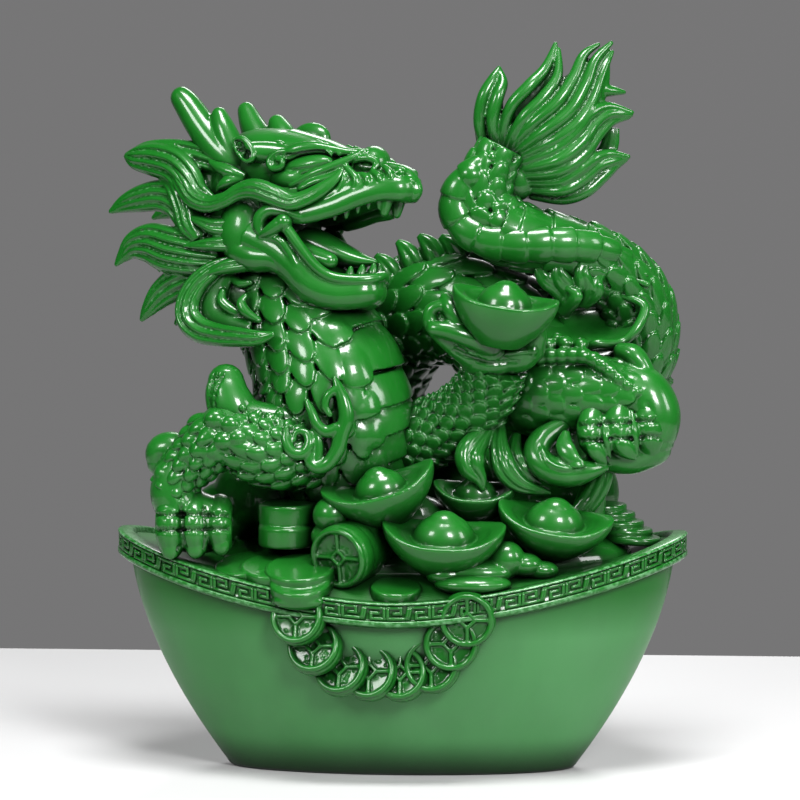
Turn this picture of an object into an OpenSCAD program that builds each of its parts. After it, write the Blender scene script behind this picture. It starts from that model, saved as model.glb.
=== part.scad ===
// Dragon figurine: a four-legged dragon on a heap of ingots and coins, set in a boat-shaped ingot base.
// Frame: origin at the centre of the flat underside, +Z up, +X towards the tail, -Y towards the front.

/* [Base] */
// Half length of the rim
rim_a = 71.5; // [68:0.5:76]
// Half width of the rim
rim_b = 37.5; // [35:0.5:42]
// Height of the rim's top at its two pointed ends
rim_end_z = 60; // [56:1:64]
// Height of the rim's top at the middle of each long side
rim_mid_z = 46.5; // [43:0.5:50]
// Height of the rim band
band_h = 6; // [4:0.5:8]
// Half length of the flat underside
foot_a = 43; // [36:1:50]
// Half width of the flat underside
foot_b = 15; // [12:1:24]

/* [Treasure] */
// Diameter of a garland coin
coin_d = 14; // [12:0.5:15]
// Thickness of a garland coin
coin_t = 2; // [1.5:0.25:3]
// Side of a coin's square hole
coin_hole = 4; // [3:0.25:5]
// Radius of the pearl
pearl_r = 4.4; // [3.5:0.1:5]
// Radius of the rolled coins
roll_r = 7.2; // [6:0.2:8]
// Length of a large ingot
ingot_len = 27; // [24:1:30]

/* [Dragon] */
// Turn of the head towards the front, in degrees
head_yaw = -26; // [-34:1:-18]
// Lift of the snout, in degrees
head_pitch = -4; // [-8:1:0]
// Roll of the head towards the front, in degrees
head_roll = -8; // [-12:1:0]
// Radius of the cheek pads
cheek_r = 6.5; // [5:0.25:7]

/* [Smoothness] */
// Sides of a swept body
tube_sides = 14; // [10:2:20]
// Rings between two route points
ring_steps = 3; // [2:1:4]

/* [Hidden] */

glossy_green = [0.05, 0.42, 0.10];
dusted_green = [0.16, 0.46, 0.20];

// Base profile
hull_turn = 1.75;        // how quickly the flank stands up
saddle_turn = 1.7;       // how quickly the rim rises towards its ends
rim_overhang = 3;        // band proud of the flank
band_wall = 4;
deck_drop = 1.2;         // deck edge below the band's top
deck_rise = 7;           // deck's middle above its edge
base_sides = 64;
flank_rings = 7;

// Head
head_pos = [-25.5, -2, 145];

// Routes: each point is [x, y, z, radius]
chest_route = [[-37, 5, 138, 8], [-33, 2, 125, 11], [-26, -2, 113, 15], [-19, -5, 101, 18],
    [-17, -5, 90, 19.5], [-15, -3, 78, 18], [-13, 0, 66, 13]];
rise_route = [[-13, 8, 64, 10], [-11, 18, 72, 12], [-10, 24, 84, 12], [-8, 24, 98, 12.5], [-2, 20, 110, 13]];
arch_route = [[-2, 20, 110, 13], [8, 16, 115, 14], [18, 14, 114, 14.5], [28, 14, 107, 15]];
haunch_route = [[28, 14, 107, 14.5], [39, 16, 99, 15], [50, 18, 96, 13.5], [57, 17, 104, 12]];
coil_route = [[56, 17, 104, 11.5], [57.5, 14, 115, 9.5], [52.5, 9, 124, 8],
    [42, 3, 130, 7.5], [30, -1, 133.5, 7.5]];
strip_route = [[21, -3, 151, 2.4], [15, -4, 145, 3.6], [15, -5, 138, 4], [22, -6.5, 133.5, 4],
    [36, -6, 132, 4], [48, -2, 131, 3.6], [56, 4, 128.5, 2.6]];
sheet_corners = [[45, 6, 117], [60, 4, 116], [58, 2, 110], [52, 0, 107], [37, -3, 108]];
tail_route = [[30, -1, 134, 7.5], [20, -3, 140, 8.5], [20, -2, 148, 7.5], [25, 0, 156, 5.5]];
flame_root = [26, 0, 153];
flame_tips = [[24, 2, 175], [38, 2, 181.5], [51.5, 2, 182], [55, 3, 170], [57, 2, 164], [56, 2, 153]];
flame_bellies = [[20, 1, 163], [32, 2, 169], [42, 2, 168], [43, 2, 161], [45, 1, 155], [42, 1, 146]];
// mounds on the heap that fill the space behind the legs: x, y, top, radius at the foot
mounds = [[-38, 5, 77, 15], [34, 14, 87, 17], [4, -9, 66, 15]];
spike_feet = [[-8, 18, 119], [-3, 15, 123], [2, 13, 126], [8, 12, 128], [14, 11, 128]];

upper_arm_route = [[-17, -10, 84, 9.5], [-30, -18, 82, 9.5], [-42, -21, 87, 8]];
forearm_route = [[-42, -21, 87, 8], [-48, -20.5, 82, 6.5], [-54, -19, 75, 5.2], [-54, -18, 69, 6]];
raised_route = [[-2, -2, 80, 8], [9, -4, 85, 7], [22, -6, 89, 7.5], [28, -9, 96, 7], [27, -12, 104, 7]];
thigh_route = [[26, 4, 95, 11], [39, -2, 95, 11], [52, -7, 95, 8.5], [60, -9, 95, 7]];
knee = [61, -9.5, 93];
ankle = [59.5, -12.5, 85];
far_thigh_route = [[36, 19, 95, 10], [46, 23, 88, 8.5], [43, 25, 79, 6.5], [37, 24, 69, 5.5]];

near_tufts = [
    [[-8, -9, 3, 5], [-22, -11, 9, 5.5], [-34, -11, 12, 5], [-44, -10, 9.5, 0.8]],
    [[-12, -9, -1, 5], [-28, -11, 3, 5.5], [-40, -11, 2, 4.5], [-49.5, -10, -3.5, 0.8]],
    [[-12, -9, -8, 5], [-28, -11, -9, 5.5], [-40, -11, -11, 4.5], [-47, -10, -17.5, 0.8]],
    [[-12, -7, -16, 5], [-26, -9, -20, 5.5], [-37, -9, -25, 4.5], [-41, -8, -31.5, 0.8]]
];
beard_spikes = [
    [[-10, -11, -10, 2.6], [-18, -13, -8, 2.2], [-26, -12, -6.5, 0.5]],
    [[-10, -11, -13, 2.6], [-18, -13, -14, 2.2], [-26, -12, -14, 0.5]],
    [[-9, -10, -18, 2.6], [-15, -12, -20, 2.2], [-22, -12, -22, 0.5]]
];
moustache_route = [[17, -8, 2.5, 1.8], [6, -12, -3.5, 2.6], [0, -13, -1, 2.6], [-6, -14, 0, 2.6],
    [-13, -14, -4, 2.6], [-19, -13, -2, 2.4], [-22, -12, 3, 1.6]];
collar_route = [[-9, -11, -18, 2], [-20, -12, -20, 4], [-27, -12, -28, 5], [-22, -13, -37, 5],
    [-10, -15, -40, 4.5], [4, -15, -40, 2]];

// Curves -----------------------------------------------------------------------------------------

function catmull(a, b, c, d, t) =
    0.5 * (2 * b + (c - a) * t + (2 * a - 5 * b + 4 * c - d) * t * t + (3 * b - a - 3 * c + d) * t * t * t);

function route(pts, steps) = [
    for (i = [0 : len(pts) - 2], j = [0 : steps - 1])
        catmull(pts[max(i - 1, 0)], pts[i], pts[i + 1], pts[min(i + 2, len(pts) - 1)], j / steps),
    pts[len(pts) - 1]
];

function place(p) = [p[0], p[1], p[2]];
function unit(v) = v / norm(v);
function heading(pts, i) = unit(place(pts[min(i + 1, len(pts) - 1)]) - place(pts[max(i - 1, 0)]));

function ring(p, along, squash, sides) =
    let (side = unit(cross([0, 1, 0], along)), depth = cross(along, side))
    [for (k = [0 : sides - 1])
        place(p) + p[3] * (cos(360 * k / sides) * side + squash * sin(360 * k / sides) * depth)];

// Two triangles for each cell between neighbouring rings of points.
function band_faces(bands, sides) = [
    for (i = [0 : bands - 1], k = [0 : sides - 1])
        let (low = i * sides, high = (i + 1) * sides, n = (k + 1) % sides)
        each [[low + k, high + k, high + n], [low + k, high + n, low + n]]
];

// A tube along a route. squash flattens it in Y.
module tube(pts, squash = 1, sides = tube_sides) {
    line = route(pts, ring_steps);
    rings = len(line);
    points = [for (i = [0 : rings - 1]) each ring(line[i], heading(line, i), squash, sides)];
    walls = band_faces(rings - 1, sides);
    first_cap = [[for (k = [0 : sides - 1]) k]];
    last_cap = [[for (k = [sides - 1 : -1 : 0]) (rings - 1) * sides + k]];
    polyhedron(points = points, faces = concat(walls, first_cap, last_cap), convexity = 6);
}

// Base -------------------------------------------------------------------------------------------

function saddle(angle, low, high) = low + (high - low) * pow(abs(cos(angle)), saddle_turn);
function stand(s) = 1 - pow(1 - s, hull_turn);

// An oval vessel whose rim rises towards its two ends. The deck is domed by rise.
module boat(a0, b0, a1, b1, low, high, rise, sides, rings) {
    flank = [for (i = [0 : rings], k = [0 : sides - 1])
        let (s = i / rings, w = stand(s), t = 360 * k / sides)
        [(a0 + (a1 - a0) * w) * cos(t), (b0 + (b1 - b0) * w) * sin(t), s * saddle(t, low, high)]];
    deck = [for (i = [1 : 2], k = [0 : sides - 1])
        let (r = 1 - i / 3, t = 360 * k / sides)
        [a1 * r * cos(t), b1 * r * sin(t), r * r * saddle(t, low, high) + (1 - r * r) * (low + rise)]];
    centre = [[0, 0, low + rise]];
    shells = rings + 2;
    walls = band_faces(shells, sides);
    foot = [[for (k = [0 : sides - 1]) k]];
    lid = [for (k = [0 : sides - 1])
        [shells * sides + k, (shells + 1) * sides, shells * sides + (k + 1) % sides]];
    polyhedron(points = concat(flank, deck, centre), faces = concat(walls, foot, lid), convexity = 6);
}

module ingot_hull() {
    color(dusted_green)
        boat(foot_a, foot_b, rim_a - rim_overhang, rim_b - rim_overhang,
            rim_mid_z - deck_drop, rim_end_z - deck_drop, deck_rise, base_sides, flank_rings);
}

// The band is a closed loop whose section is four points: outer low, outer high, inner high, inner low.
module rim_band() {
    points = [for (k = [0 : base_sides - 1])
        let (t = 360 * k / base_sides, top = saddle(t, rim_mid_z, rim_end_z))
        each [
            [rim_a * cos(t), rim_b * sin(t), top - band_h],
            [rim_a * cos(t), rim_b * sin(t), top],
            [(rim_a - band_wall) * cos(t), (rim_b - band_wall) * sin(t), top],
            [(rim_a - band_wall) * cos(t), (rim_b - band_wall) * sin(t), top - band_h]
        ]];
    faces = [for (k = [0 : base_sides - 1], j = [0 : 3])
        let (n = (k + 1) % base_sides, m = (j + 1) % 4)
        each [[k * 4 + j, k * 4 + m, n * 4 + m], [k * 4 + j, n * 4 + m, n * 4 + j]]];
    color(glossy_green) polyhedron(points = points, faces = faces, convexity = 6);
}

module treasure_bed() {
    color(glossy_green) {
        hull() {
            translate([-6, -2, 48]) cylinder(h = 4, r1 = 32, r2 = 30, $fn = 32);
            translate([26, -1, 50]) cylinder(h = 4, r1 = 31, r2 = 29, $fn = 32);
            translate([-14, 4, 60]) cylinder(h = 6, r1 = 22, r2 = 15, $fn = 32);
            translate([20, 4, 60]) cylinder(h = 7, r1 = 22, r2 = 15, $fn = 32);
        }
        for (m = mounds)
            translate([m[0], m[1], 53]) cylinder(h = m[2] - 53, r1 = m[3], r2 = m[3] * 0.6, $fn = 32);
    }
}

// Treasure ---------------------------------------------------------------------------------------

// A cash coin lying in XY: raised ring, diamond hole with a border, and four spokes.
module cash_coin(d, t, hole) {
    ring_w = 1.3;
    field_t = t * 0.55;
    difference() {
        union() {
            cylinder(h = field_t, d = d - 1, $fn = 40);
            difference() {
                cylinder(h = t, d = d, $fn = 40);
                translate([0, 0, field_t]) cylinder(h = t, d = d - 2 * ring_w, $fn = 40);
            }
            translate([-(d - 1) / 2, -0.5, 0]) cube([d - 1, 1, t * 0.9]);
            translate([-0.5, -(d - 1) / 2, 0]) cube([1, d - 1, t * 0.9]);
            rotate([0, 0, 45])
                translate([-hole / 2 - 0.8, -hole / 2 - 0.8, 0])
                    cube([hole + 1.6, hole + 1.6, t]);
        }
        rotate([0, 0, 45]) translate([-hole / 2, -hole / 2, -1]) cube([hole, hole, t + 2]);
    }
}

// The garland's coins: x, z on the front flank, and how far each stands off it.
garland = [[-23, 42.5, 2.4], [-19, 35, 1.6], [-13, 29.5, 1.2], [-6, 27.5, 1], [1.5, 27, 1], [9.5, 29.5, 1.2],
    [14, 36, 1.6], [17.5, 43, 2.4]];

function flank_y(x, z) =
    let (w = stand(min(z / rim_mid_z, 1)), a = foot_a + (rim_a - rim_overhang - foot_a) * w,
        b = foot_b + (rim_b - rim_overhang - foot_b) * w)
    -b * sqrt(1 - pow(x / a, 2));

module garland_coin(i) {
    spot = garland[i - 1];
    lean = atan((flank_y(spot[0], spot[1] - 2) - flank_y(spot[0], spot[1] + 2)) / 4);
    turn = atan(spot[0] / rim_a);
    color(glossy_green)
        translate([spot[0], flank_y(spot[0], spot[1]) - spot[2] + coin_t / 2, spot[1]])
            rotate([90 - lean, 0, turn])
                cash_coin(coin_d, coin_t, coin_hole);
}

module sycee(len, wide, high) {
    color(glossy_green) {
        boat(len * 0.26, wide * 0.3, len / 2, wide / 2, high * 0.55, high, 1, 32, 5);
        translate([0, 0, high * 0.55]) scale([1, 0.85, 0.9]) sphere(r = len * 0.2, $fn = 20);
    }
}

module ingot_1() { translate([-2, -20, 64]) rotate([8, -15, 0]) sycee(ingot_len, 15, 9); }
module ingot_2() { translate([12, -24, 54.5]) rotate([10, 2, 4]) sycee(ingot_len + 2, 16, 9); }
module ingot_3() { translate([38, -15, 58]) rotate([12, 9, 2]) sycee(ingot_len, 14, 8); }
module ingot_4() { translate([20, -9, 66]) rotate([8, 2, 0]) sycee(ingot_len - 7, 12, 7); }
module claw_ingot() { translate([25.5, -21, 109]) rotate([6, 10, -4]) sycee(ingot_len - 1, 15, 13); }

module pearl() { color(glossy_green) translate([-16, -23, 67]) sphere(r = pearl_r, $fn = 32); }

module coin_roll() {
    color(glossy_green)
        translate([-13, -29, 56.5]) rotate([90, 0, -32]) {
            translate([0, 0, -12]) cylinder(h = 12.2, r = roll_r - 0.6, $fn = 40);
            for (i = [0 : 3]) translate([0, 0, -12 + i * 3.2]) cylinder(h = 2.4, r = roll_r, $fn = 40);
        }
}

module thick_discs() {
    color(glossy_green)
        for (i = [0, 1]) translate([-28, -16, 57 + i * 5.4]) cylinder(h = 5, r = 7.2, $fn = 40);
}

module deck_coins() {
    color(glossy_green) {
        translate([0.5, -30, 49.6]) rotate([14, 0, 0]) cylinder(h = 1.8, r = 6.4, $fn = 40);
        translate([-34, -21, 52.5]) rotate([12, -8, 0]) cylinder(h = 2, r = 7.5, $fn = 40);
    }
}

module rim_slabs() {
    color(glossy_green) {
        translate([-23, -27, 50.6]) rotate([16, -2, 0]) cylinder(h = 2.4, r = 8, $fn = 40);
        translate([-22.5, -31, 46.5]) rotate([24, -2, 0]) cylinder(h = 2.6, r = 6.6, $fn = 40);
        translate([20, -30, 47.5]) rotate([18, 4, 0]) cylinder(h = 2.4, r = 7.5, $fn = 40);
    }
}

module nuggets() {
    color(glossy_green) {
        translate([20, -28, 50.5]) scale([1.8, 1, 0.6]) sphere(r = 5, $fn = 20);
        translate([30, -26, 54]) sphere(r = 3.6, $fn = 20);
        translate([25, -31, 49]) sphere(r = 2.6, $fn = 20);
    }
}

module side_coin_stack() {
    color(glossy_green)
        for (i = [0 : 3])
            translate([55 - i * 1.8, 1, 57 + i * 2.2]) cylinder(h = 2, r = 7.2 - i * 0.5, $fn = 40);
}

module fist_prop() { color(glossy_green) translate([48, -4, 60]) cylinder(h = 22, r1 = 4, r2 = 3, $fn = 24); }

// Body -------------------------------------------------------------------------------------------

module chest() { color(glossy_green) tube(chest_route, 0.9); }
module body_rise() { color(glossy_green) tube(rise_route, 0.85); }
module body_arch() { color(glossy_green) tube(arch_route, 0.9); }
module haunch() { color(glossy_green) tube(haunch_route, 0.9); }
module body_coil() { color(glossy_green) tube(coil_route, 0.95); }
module tail() { color(glossy_green) tube(tail_route, 0.8); }

// The smooth belly strip that wraps the tail and the coil, and the sheet that closes the loop inside.
module coil_plates() {
    color(glossy_green) {
        tube(strip_route, 0.8);
        hull() for (p = sheet_corners) ball(p, 2, 12);
    }
}

module tail_flame() {
    color(glossy_green)
        for (i = [0 : len(flame_tips) - 1])
            tube([concat(flame_root, 5), concat(flame_bellies[i], 6), concat(flame_tips[i], 0.8)], 0.7, 10);
}

module dorsal_spikes() {
    color(glossy_green)
        for (p = spike_feet)
            translate(p) rotate([-20, 15, 0]) cylinder(h = 5.5, r1 = 3.8, r2 = 1.6, $fn = 16);
}

// Head -------------------------------------------------------------------------------------------

module in_head() { translate(head_pos) rotate([head_roll, head_pitch, head_yaw]) children(); }
module ball(p, r, n = 20) { translate(p) sphere(r = r, $fn = n); }
module far_side() { mirror([0, 1, 0]) children(); }
module both_sides() {
    children();
    far_side() children();
}

module head_upper() {
    color(glossy_green) in_head() {
        hull() {
            ball([-12, 0, 4], 10.5);
            both_sides() ball([0, -6, 6], 6.5);
            ball([14, 0, 4], 5.5);
        }
        hull() {
            both_sides() ball([14, -3.5, 2], 5);
            both_sides() ball([26, -3, -0.5], 4);
            ball([28, 0, -3], 4.5);
        }
        hull() {
            ball([-12, 0, -6], 9);
            ball([4, 0, -2], 8);
        }
        ball([20.5, 0, 7], 3.6);
        both_sides() ball([18.5, -5, 4.5], 2.8);
    }
}

module lower_jaw() {
    color(glossy_green) in_head() {
        hull() {
            both_sides() ball([-2, -6, -14], 4);
            both_sides() ball([10, -4.5, -23], 3.6);
        }
        hull() {
            both_sides() ball([10, -4.5, -23], 3.6);
            both_sides() ball([21, -3, -23.5], 2.6);
            ball([16, 0, -25], 3);
        }
    }
}

module tongue() {
    color(glossy_green) in_head()
        tube([[0, 0, -12, 4], [10, 0, -16, 4], [18, 0, -17, 3], [23, 0, -17.5, 0.8]], 1.3, 12);
}

module teeth() {
    color(glossy_green) in_head() both_sides() {
        for (i = [0 : 4])
            translate([12 + i * 3, -5, -4 - i * 0.3])
                rotate([180, 0, 0])
                    cylinder(h = 3.4, r1 = 1.3, r2 = 0.3, $fn = 14);
        translate([27.5, -4, -5]) rotate([180, 0, 0]) cylinder(h = 6, r1 = 1.8, r2 = 0.4, $fn = 14);
        translate([13, -5.5, -21]) rotate([0, 10, 0]) cylinder(h = 6.5, r1 = 2.2, r2 = 1, $fn = 14);
        for (i = [0 : 1])
            translate([18 + i * 3, -3.8, -22]) cylinder(h = 3.2, r1 = 1.1, r2 = 0.3, $fn = 14);
    }
}

module eyes() { color(glossy_green) in_head() both_sides() ball([6, -8.5, 5], 3.2); }
module cheek_pads() { color(glossy_green) in_head() both_sides() ball([-9, -8.5, -9], cheek_r, 28); }

module horn() {
    tube([[-13, -6, 8, 3.6], [-22, -8, 13, 3.2], [-31, -8, 25.5, 1.6]], 1, 12);
    tube([[-20, -8, 11, 3], [-20, -8, 16, 2.4], [-19, -8, 20.5, 1.2]], 1, 12);
}
module horn_near() { color(glossy_green) in_head() horn(); }
module horn_far() { color(glossy_green) in_head() far_side() horn(); }

module ear() { tube([[0, -8, 7, 2.4], [-5, -10, 9, 3.6], [-10, -12, 10, 3.2]], 0.8, 12); }
module ear_near() { color(glossy_green) in_head() ear(); }
module ear_far() { color(glossy_green) in_head() far_side() ear(); }

module moustache() { tube(moustache_route, 0.7, 10); }
module moustache_near() { color(glossy_green) in_head() moustache(); }
module moustache_far() { color(glossy_green) in_head() far_side() moustache(); }

module mane() { for (tuft = near_tufts) tube(tuft, 0.55, 10); }
module mane_near() { color(glossy_green) in_head() mane(); }
module mane_far() { color(glossy_green) in_head() far_side() mane(); }

module beard() { color(glossy_green) in_head() both_sides() for (spike = beard_spikes) tube(spike, 0.8, 10); }

module collar() { tube(collar_route, 0.5, 10); }
module collar_near() { color(glossy_green) in_head() collar(); }
module collar_far() { color(glossy_green) in_head() far_side() collar(); }

// Legs -------------------------------------------------------------------------------------------

// Toes side by side, each a short row of knuckles that runs towards -X.
module toes(count, pitch, knuckle_r, reach) {
    for (i = [0 : count - 1])
        translate([0, (i - (count - 1) / 2) * pitch, 0])
            hull() {
                sphere(r = knuckle_r, $fn = 16);
                translate([-reach, 0, -knuckle_r * 0.6]) sphere(r = knuckle_r * 0.7, $fn = 16);
            }
}

module foreleg_near() {
    color(glossy_green) {
        tube(upper_arm_route, 0.9);
        tube(forearm_route);
        translate([-43, -21, 92]) rotate([0, -25, 0]) cylinder(h = 9, r = 5.5, $fn = 28);
    }
}

module forepaw_near() {
    color(glossy_green) {
        translate([-50, -18, 63.5]) rotate([0, 0, 70]) toes(4, 4.4, 4.2, 3);
        translate([-53, -18, 67]) sphere(r = 6, $fn = 24);
        tube([[-55, -16, 72, 3.6], [-58, -15, 78, 3.4], [-59, -15, 82, 2.8]], 1, 12);
    }
}

module foreleg_raised() { color(glossy_green) tube(raised_route); }

module claw_raised() {
    color(glossy_green) {
        hull() {
            ball([27, -13, 105], 6);
            ball([24, -17, 109], 5.5);
            ball([33, -17, 105], 5);
        }
        for (i = [0 : 3]) ball([17 + i * 3, -20 - i * 1.2, 112 - i * 2.4], 3.4);
        ball([37, -20, 108], 3.6);
        ball([38, -22, 112], 2.8);
    }
}

// Curls of flame behind the shoulder and under the raised elbow.
module leg_flames() {
    color(glossy_green) {
        tube([[-14, -17, 76, 1.6], [-13, -23, 84, 2], [-19, -23, 92, 2], [-15, -22, 99, 0.6]], 1, 10);
        tube([[-18, -20, 78, 1.6], [-24, -24, 84, 1.8], [-25, -23, 91, 0.6]], 1, 10);
        tube([[22, -10, 84, 2], [18, -16, 77, 2.6], [20, -17, 69, 0.6]], 0.8, 10);
        tube([[26, -10, 83, 2], [26, -15, 75, 2.4], [31, -15, 68, 0.6]], 0.8, 10);
    }
}

module hind_leg_near() {
    color(glossy_green) {
        tube(thigh_route, 0.9);
        hull() {
            ball(knee, 7.2);
            ball(ankle, 7.6);
        }
    }
}

module hind_fist_near() {
    color(glossy_green) {
        translate([53, -15, 88]) rotate([80, 0, 0]) toes(4, 3.8, 4.4, 5);
        translate([59, -13, 86]) sphere(r = 7.5, $fn = 24);
        tube([[56, -13, 79, 3.2], [47, -15, 77, 3.6], [40, -15, 80, 2.6], [40, -15, 85, 0.8]], 1, 12);
    }
}

module hind_leg_far() { color(glossy_green) tube(far_thigh_route); }

module hind_paw_far() {
    color(glossy_green) {
        translate([33, 24, 64]) rotate([0, 0, -40]) toes(4, 4, 4, 4);
        ball([36, 24, 66], 5.5);
    }
}

ingot_hull();
rim_band();
treasure_bed();
garland_coin(1);  // garland_coin_1
garland_coin(2);  // garland_coin_2
garland_coin(3);  // garland_coin_3
garland_coin(4);  // garland_coin_4
garland_coin(5);  // garland_coin_5
garland_coin(6);  // garland_coin_6
garland_coin(7);  // garland_coin_7
garland_coin(8);  // garland_coin_8
ingot_1();
ingot_2();
ingot_3();
ingot_4();
claw_ingot();
pearl();
coin_roll();
thick_discs();
deck_coins();
rim_slabs();
nuggets();
side_coin_stack();
fist_prop();
chest();
body_rise();
body_arch();
haunch();
body_coil();
coil_plates();
tail();
tail_flame();
dorsal_spikes();
head_upper();
lower_jaw();
tongue();
teeth();
eyes();
cheek_pads();
horn_near();
horn_far();
ear_near();
ear_far();
moustache_near();
moustache_far();
mane_near();
mane_far();
beard();
collar_near();
collar_far();
foreleg_near();
forepaw_near();
foreleg_raised();
claw_raised();
leg_flames();
hind_leg_near();
hind_fist_near();
hind_leg_far();
hind_paw_far();
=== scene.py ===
"""Dragon figurine on a boat-shaped ingot base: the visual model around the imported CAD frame."""
import math

import bpy
import numpy as np
from mathutils import Matrix, Vector
from mathutils.bvhtree import BVHTree
from mathutils.kdtree import KDTree


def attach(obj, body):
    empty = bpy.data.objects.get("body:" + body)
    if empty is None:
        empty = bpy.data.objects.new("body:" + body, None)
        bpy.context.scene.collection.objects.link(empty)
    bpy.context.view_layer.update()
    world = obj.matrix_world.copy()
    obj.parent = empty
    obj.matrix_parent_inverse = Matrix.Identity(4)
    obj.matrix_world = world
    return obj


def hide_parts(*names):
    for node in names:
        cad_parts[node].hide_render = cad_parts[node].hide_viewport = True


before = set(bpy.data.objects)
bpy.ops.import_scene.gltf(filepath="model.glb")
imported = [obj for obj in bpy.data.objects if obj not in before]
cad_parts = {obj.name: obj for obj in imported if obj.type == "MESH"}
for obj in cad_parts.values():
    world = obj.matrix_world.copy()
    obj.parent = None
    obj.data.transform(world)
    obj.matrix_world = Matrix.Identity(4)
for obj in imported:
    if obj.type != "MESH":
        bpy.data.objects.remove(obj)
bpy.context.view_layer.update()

MM = 0.001
VOXEL = 0.34      # casting grid, in millimetres
KEEP = 0.43                              # share of the cast triangles that is kept
FRONT = (0, 1, 0)                        # depth direction of every sweep
TAU = 2 * math.pi
rng = np.random.default_rng(7)


# ---------------------------------------------------------------- curves and closed shapes, in mm

def smooth_route(points, steps):
    """Catmull-Rom curve through given points of any width."""
    p = np.asarray(points, float)
    padded = np.vstack([p[:1], p, p[-1:]])
    t = (np.arange(steps) / steps)[:, None]
    rows = []
    for a, b, c, d in zip(padded, padded[1:], padded[2:], padded[3:]):
        rows.append(0.5 * (2 * b + (c - a) * t + (2 * a - 5 * b + 4 * c - d) * t ** 2
                           + (3 * b - a - 3 * c + d) * t ** 3))
    return np.vstack(rows + [p[-1:]])


def unit(v):
    return v / np.maximum(np.linalg.norm(v, axis=-1, keepdims=True), 1e-9)


def ring_quads(rings, sides):
    """Quads between neighbouring rings of a closed tube."""
    i = np.arange(rings - 1)[:, None] * sides
    k = np.arange(sides)[None, :]
    n = (k + 1) % sides
    return np.stack([i + k, i + n, i + sides + n, i + sides + k], -1).reshape(-1, 4)


def loop_quads(rings, sides):
    """Quads of a tube whose last ring joins its first."""
    i = np.arange(rings)[:, None] * sides
    n = ((np.arange(rings) + 1) % rings)[:, None] * sides
    k = np.arange(sides)[None, :]
    m = (k + 1) % sides
    return np.stack([i + k, n + k, n + m, i + m], -1).reshape(-1, 4)


def closed_tube(rings):
    """Vertices and faces of a tube given as an array of rings, closed by a point at each end."""
    count, sides = rings.shape[:2]
    verts = np.vstack([rings.reshape(-1, 3), rings[0].mean(0), rings[-1].mean(0)])
    k = np.arange(sides)
    n = (k + 1) % sides
    start = np.stack([n, k, np.full(sides, count * sides)], -1)
    base = (count - 1) * sides
    end = np.stack([base + k, base + n, np.full(sides, count * sides + 1)], -1)
    return verts, [ring_quads(count, sides), start, end]


class Sweep:
    """A route with a radius and a frame, to place points on or near its skin."""

    def __init__(self, points, squash=1.0, steps=24, depth_ref=FRONT):
        line = smooth_route(points, steps)
        self.centre, self.radius, self.squash = line[:, :3], line[:, 3], squash
        along = unit(np.gradient(self.centre, axis=0))
        self.side = unit(np.cross(np.asarray(depth_ref, float), along))
        self.depth = np.cross(along, self.side)
        self.arc = np.concatenate([[0], np.cumsum(np.linalg.norm(np.diff(self.centre, axis=0), axis=1))])
        self.length = self.arc[-1]

    def blend(self, table, s):
        return np.stack([np.interp(s, self.arc, table[:, k]) for k in range(3)], -1)

    def point(self, s, phi, lift=0.0):
        s, phi, lift = np.broadcast_arrays(np.asarray(s, float), phi, lift)
        side = unit(self.blend(self.side, s))
        depth = unit(self.blend(self.depth, s))
        out = np.cos(phi)[..., None] * side + self.squash * np.sin(phi)[..., None] * depth
        return self.blend(self.centre, s) + (np.interp(s, self.arc, self.radius) + lift)[..., None] * out

    def skin(self, lift=0.0, sides=40, gap=0.8):
        s = np.linspace(0, self.length, max(4, int(self.length / gap)))
        phi = np.arange(sides) * TAU / sides
        return closed_tube(self.point(s[:, None], phi[None, :], lift))


def place(matrix, points):
    return np.asarray(points, float) @ np.array(matrix)[:3, :3].T + np.array(matrix)[:3, 3]


def turn(x=0, y=0, z=0, at=(0, 0, 0)):
    """Placement by turns about X, then Y, then Z, in degrees, and a shift."""
    spin = (Matrix.Rotation(math.radians(z), 4, "Z") @ Matrix.Rotation(math.radians(y), 4, "Y")
            @ Matrix.Rotation(math.radians(x), 4, "X"))
    return Matrix.Translation(Vector(at)) @ spin


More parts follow.
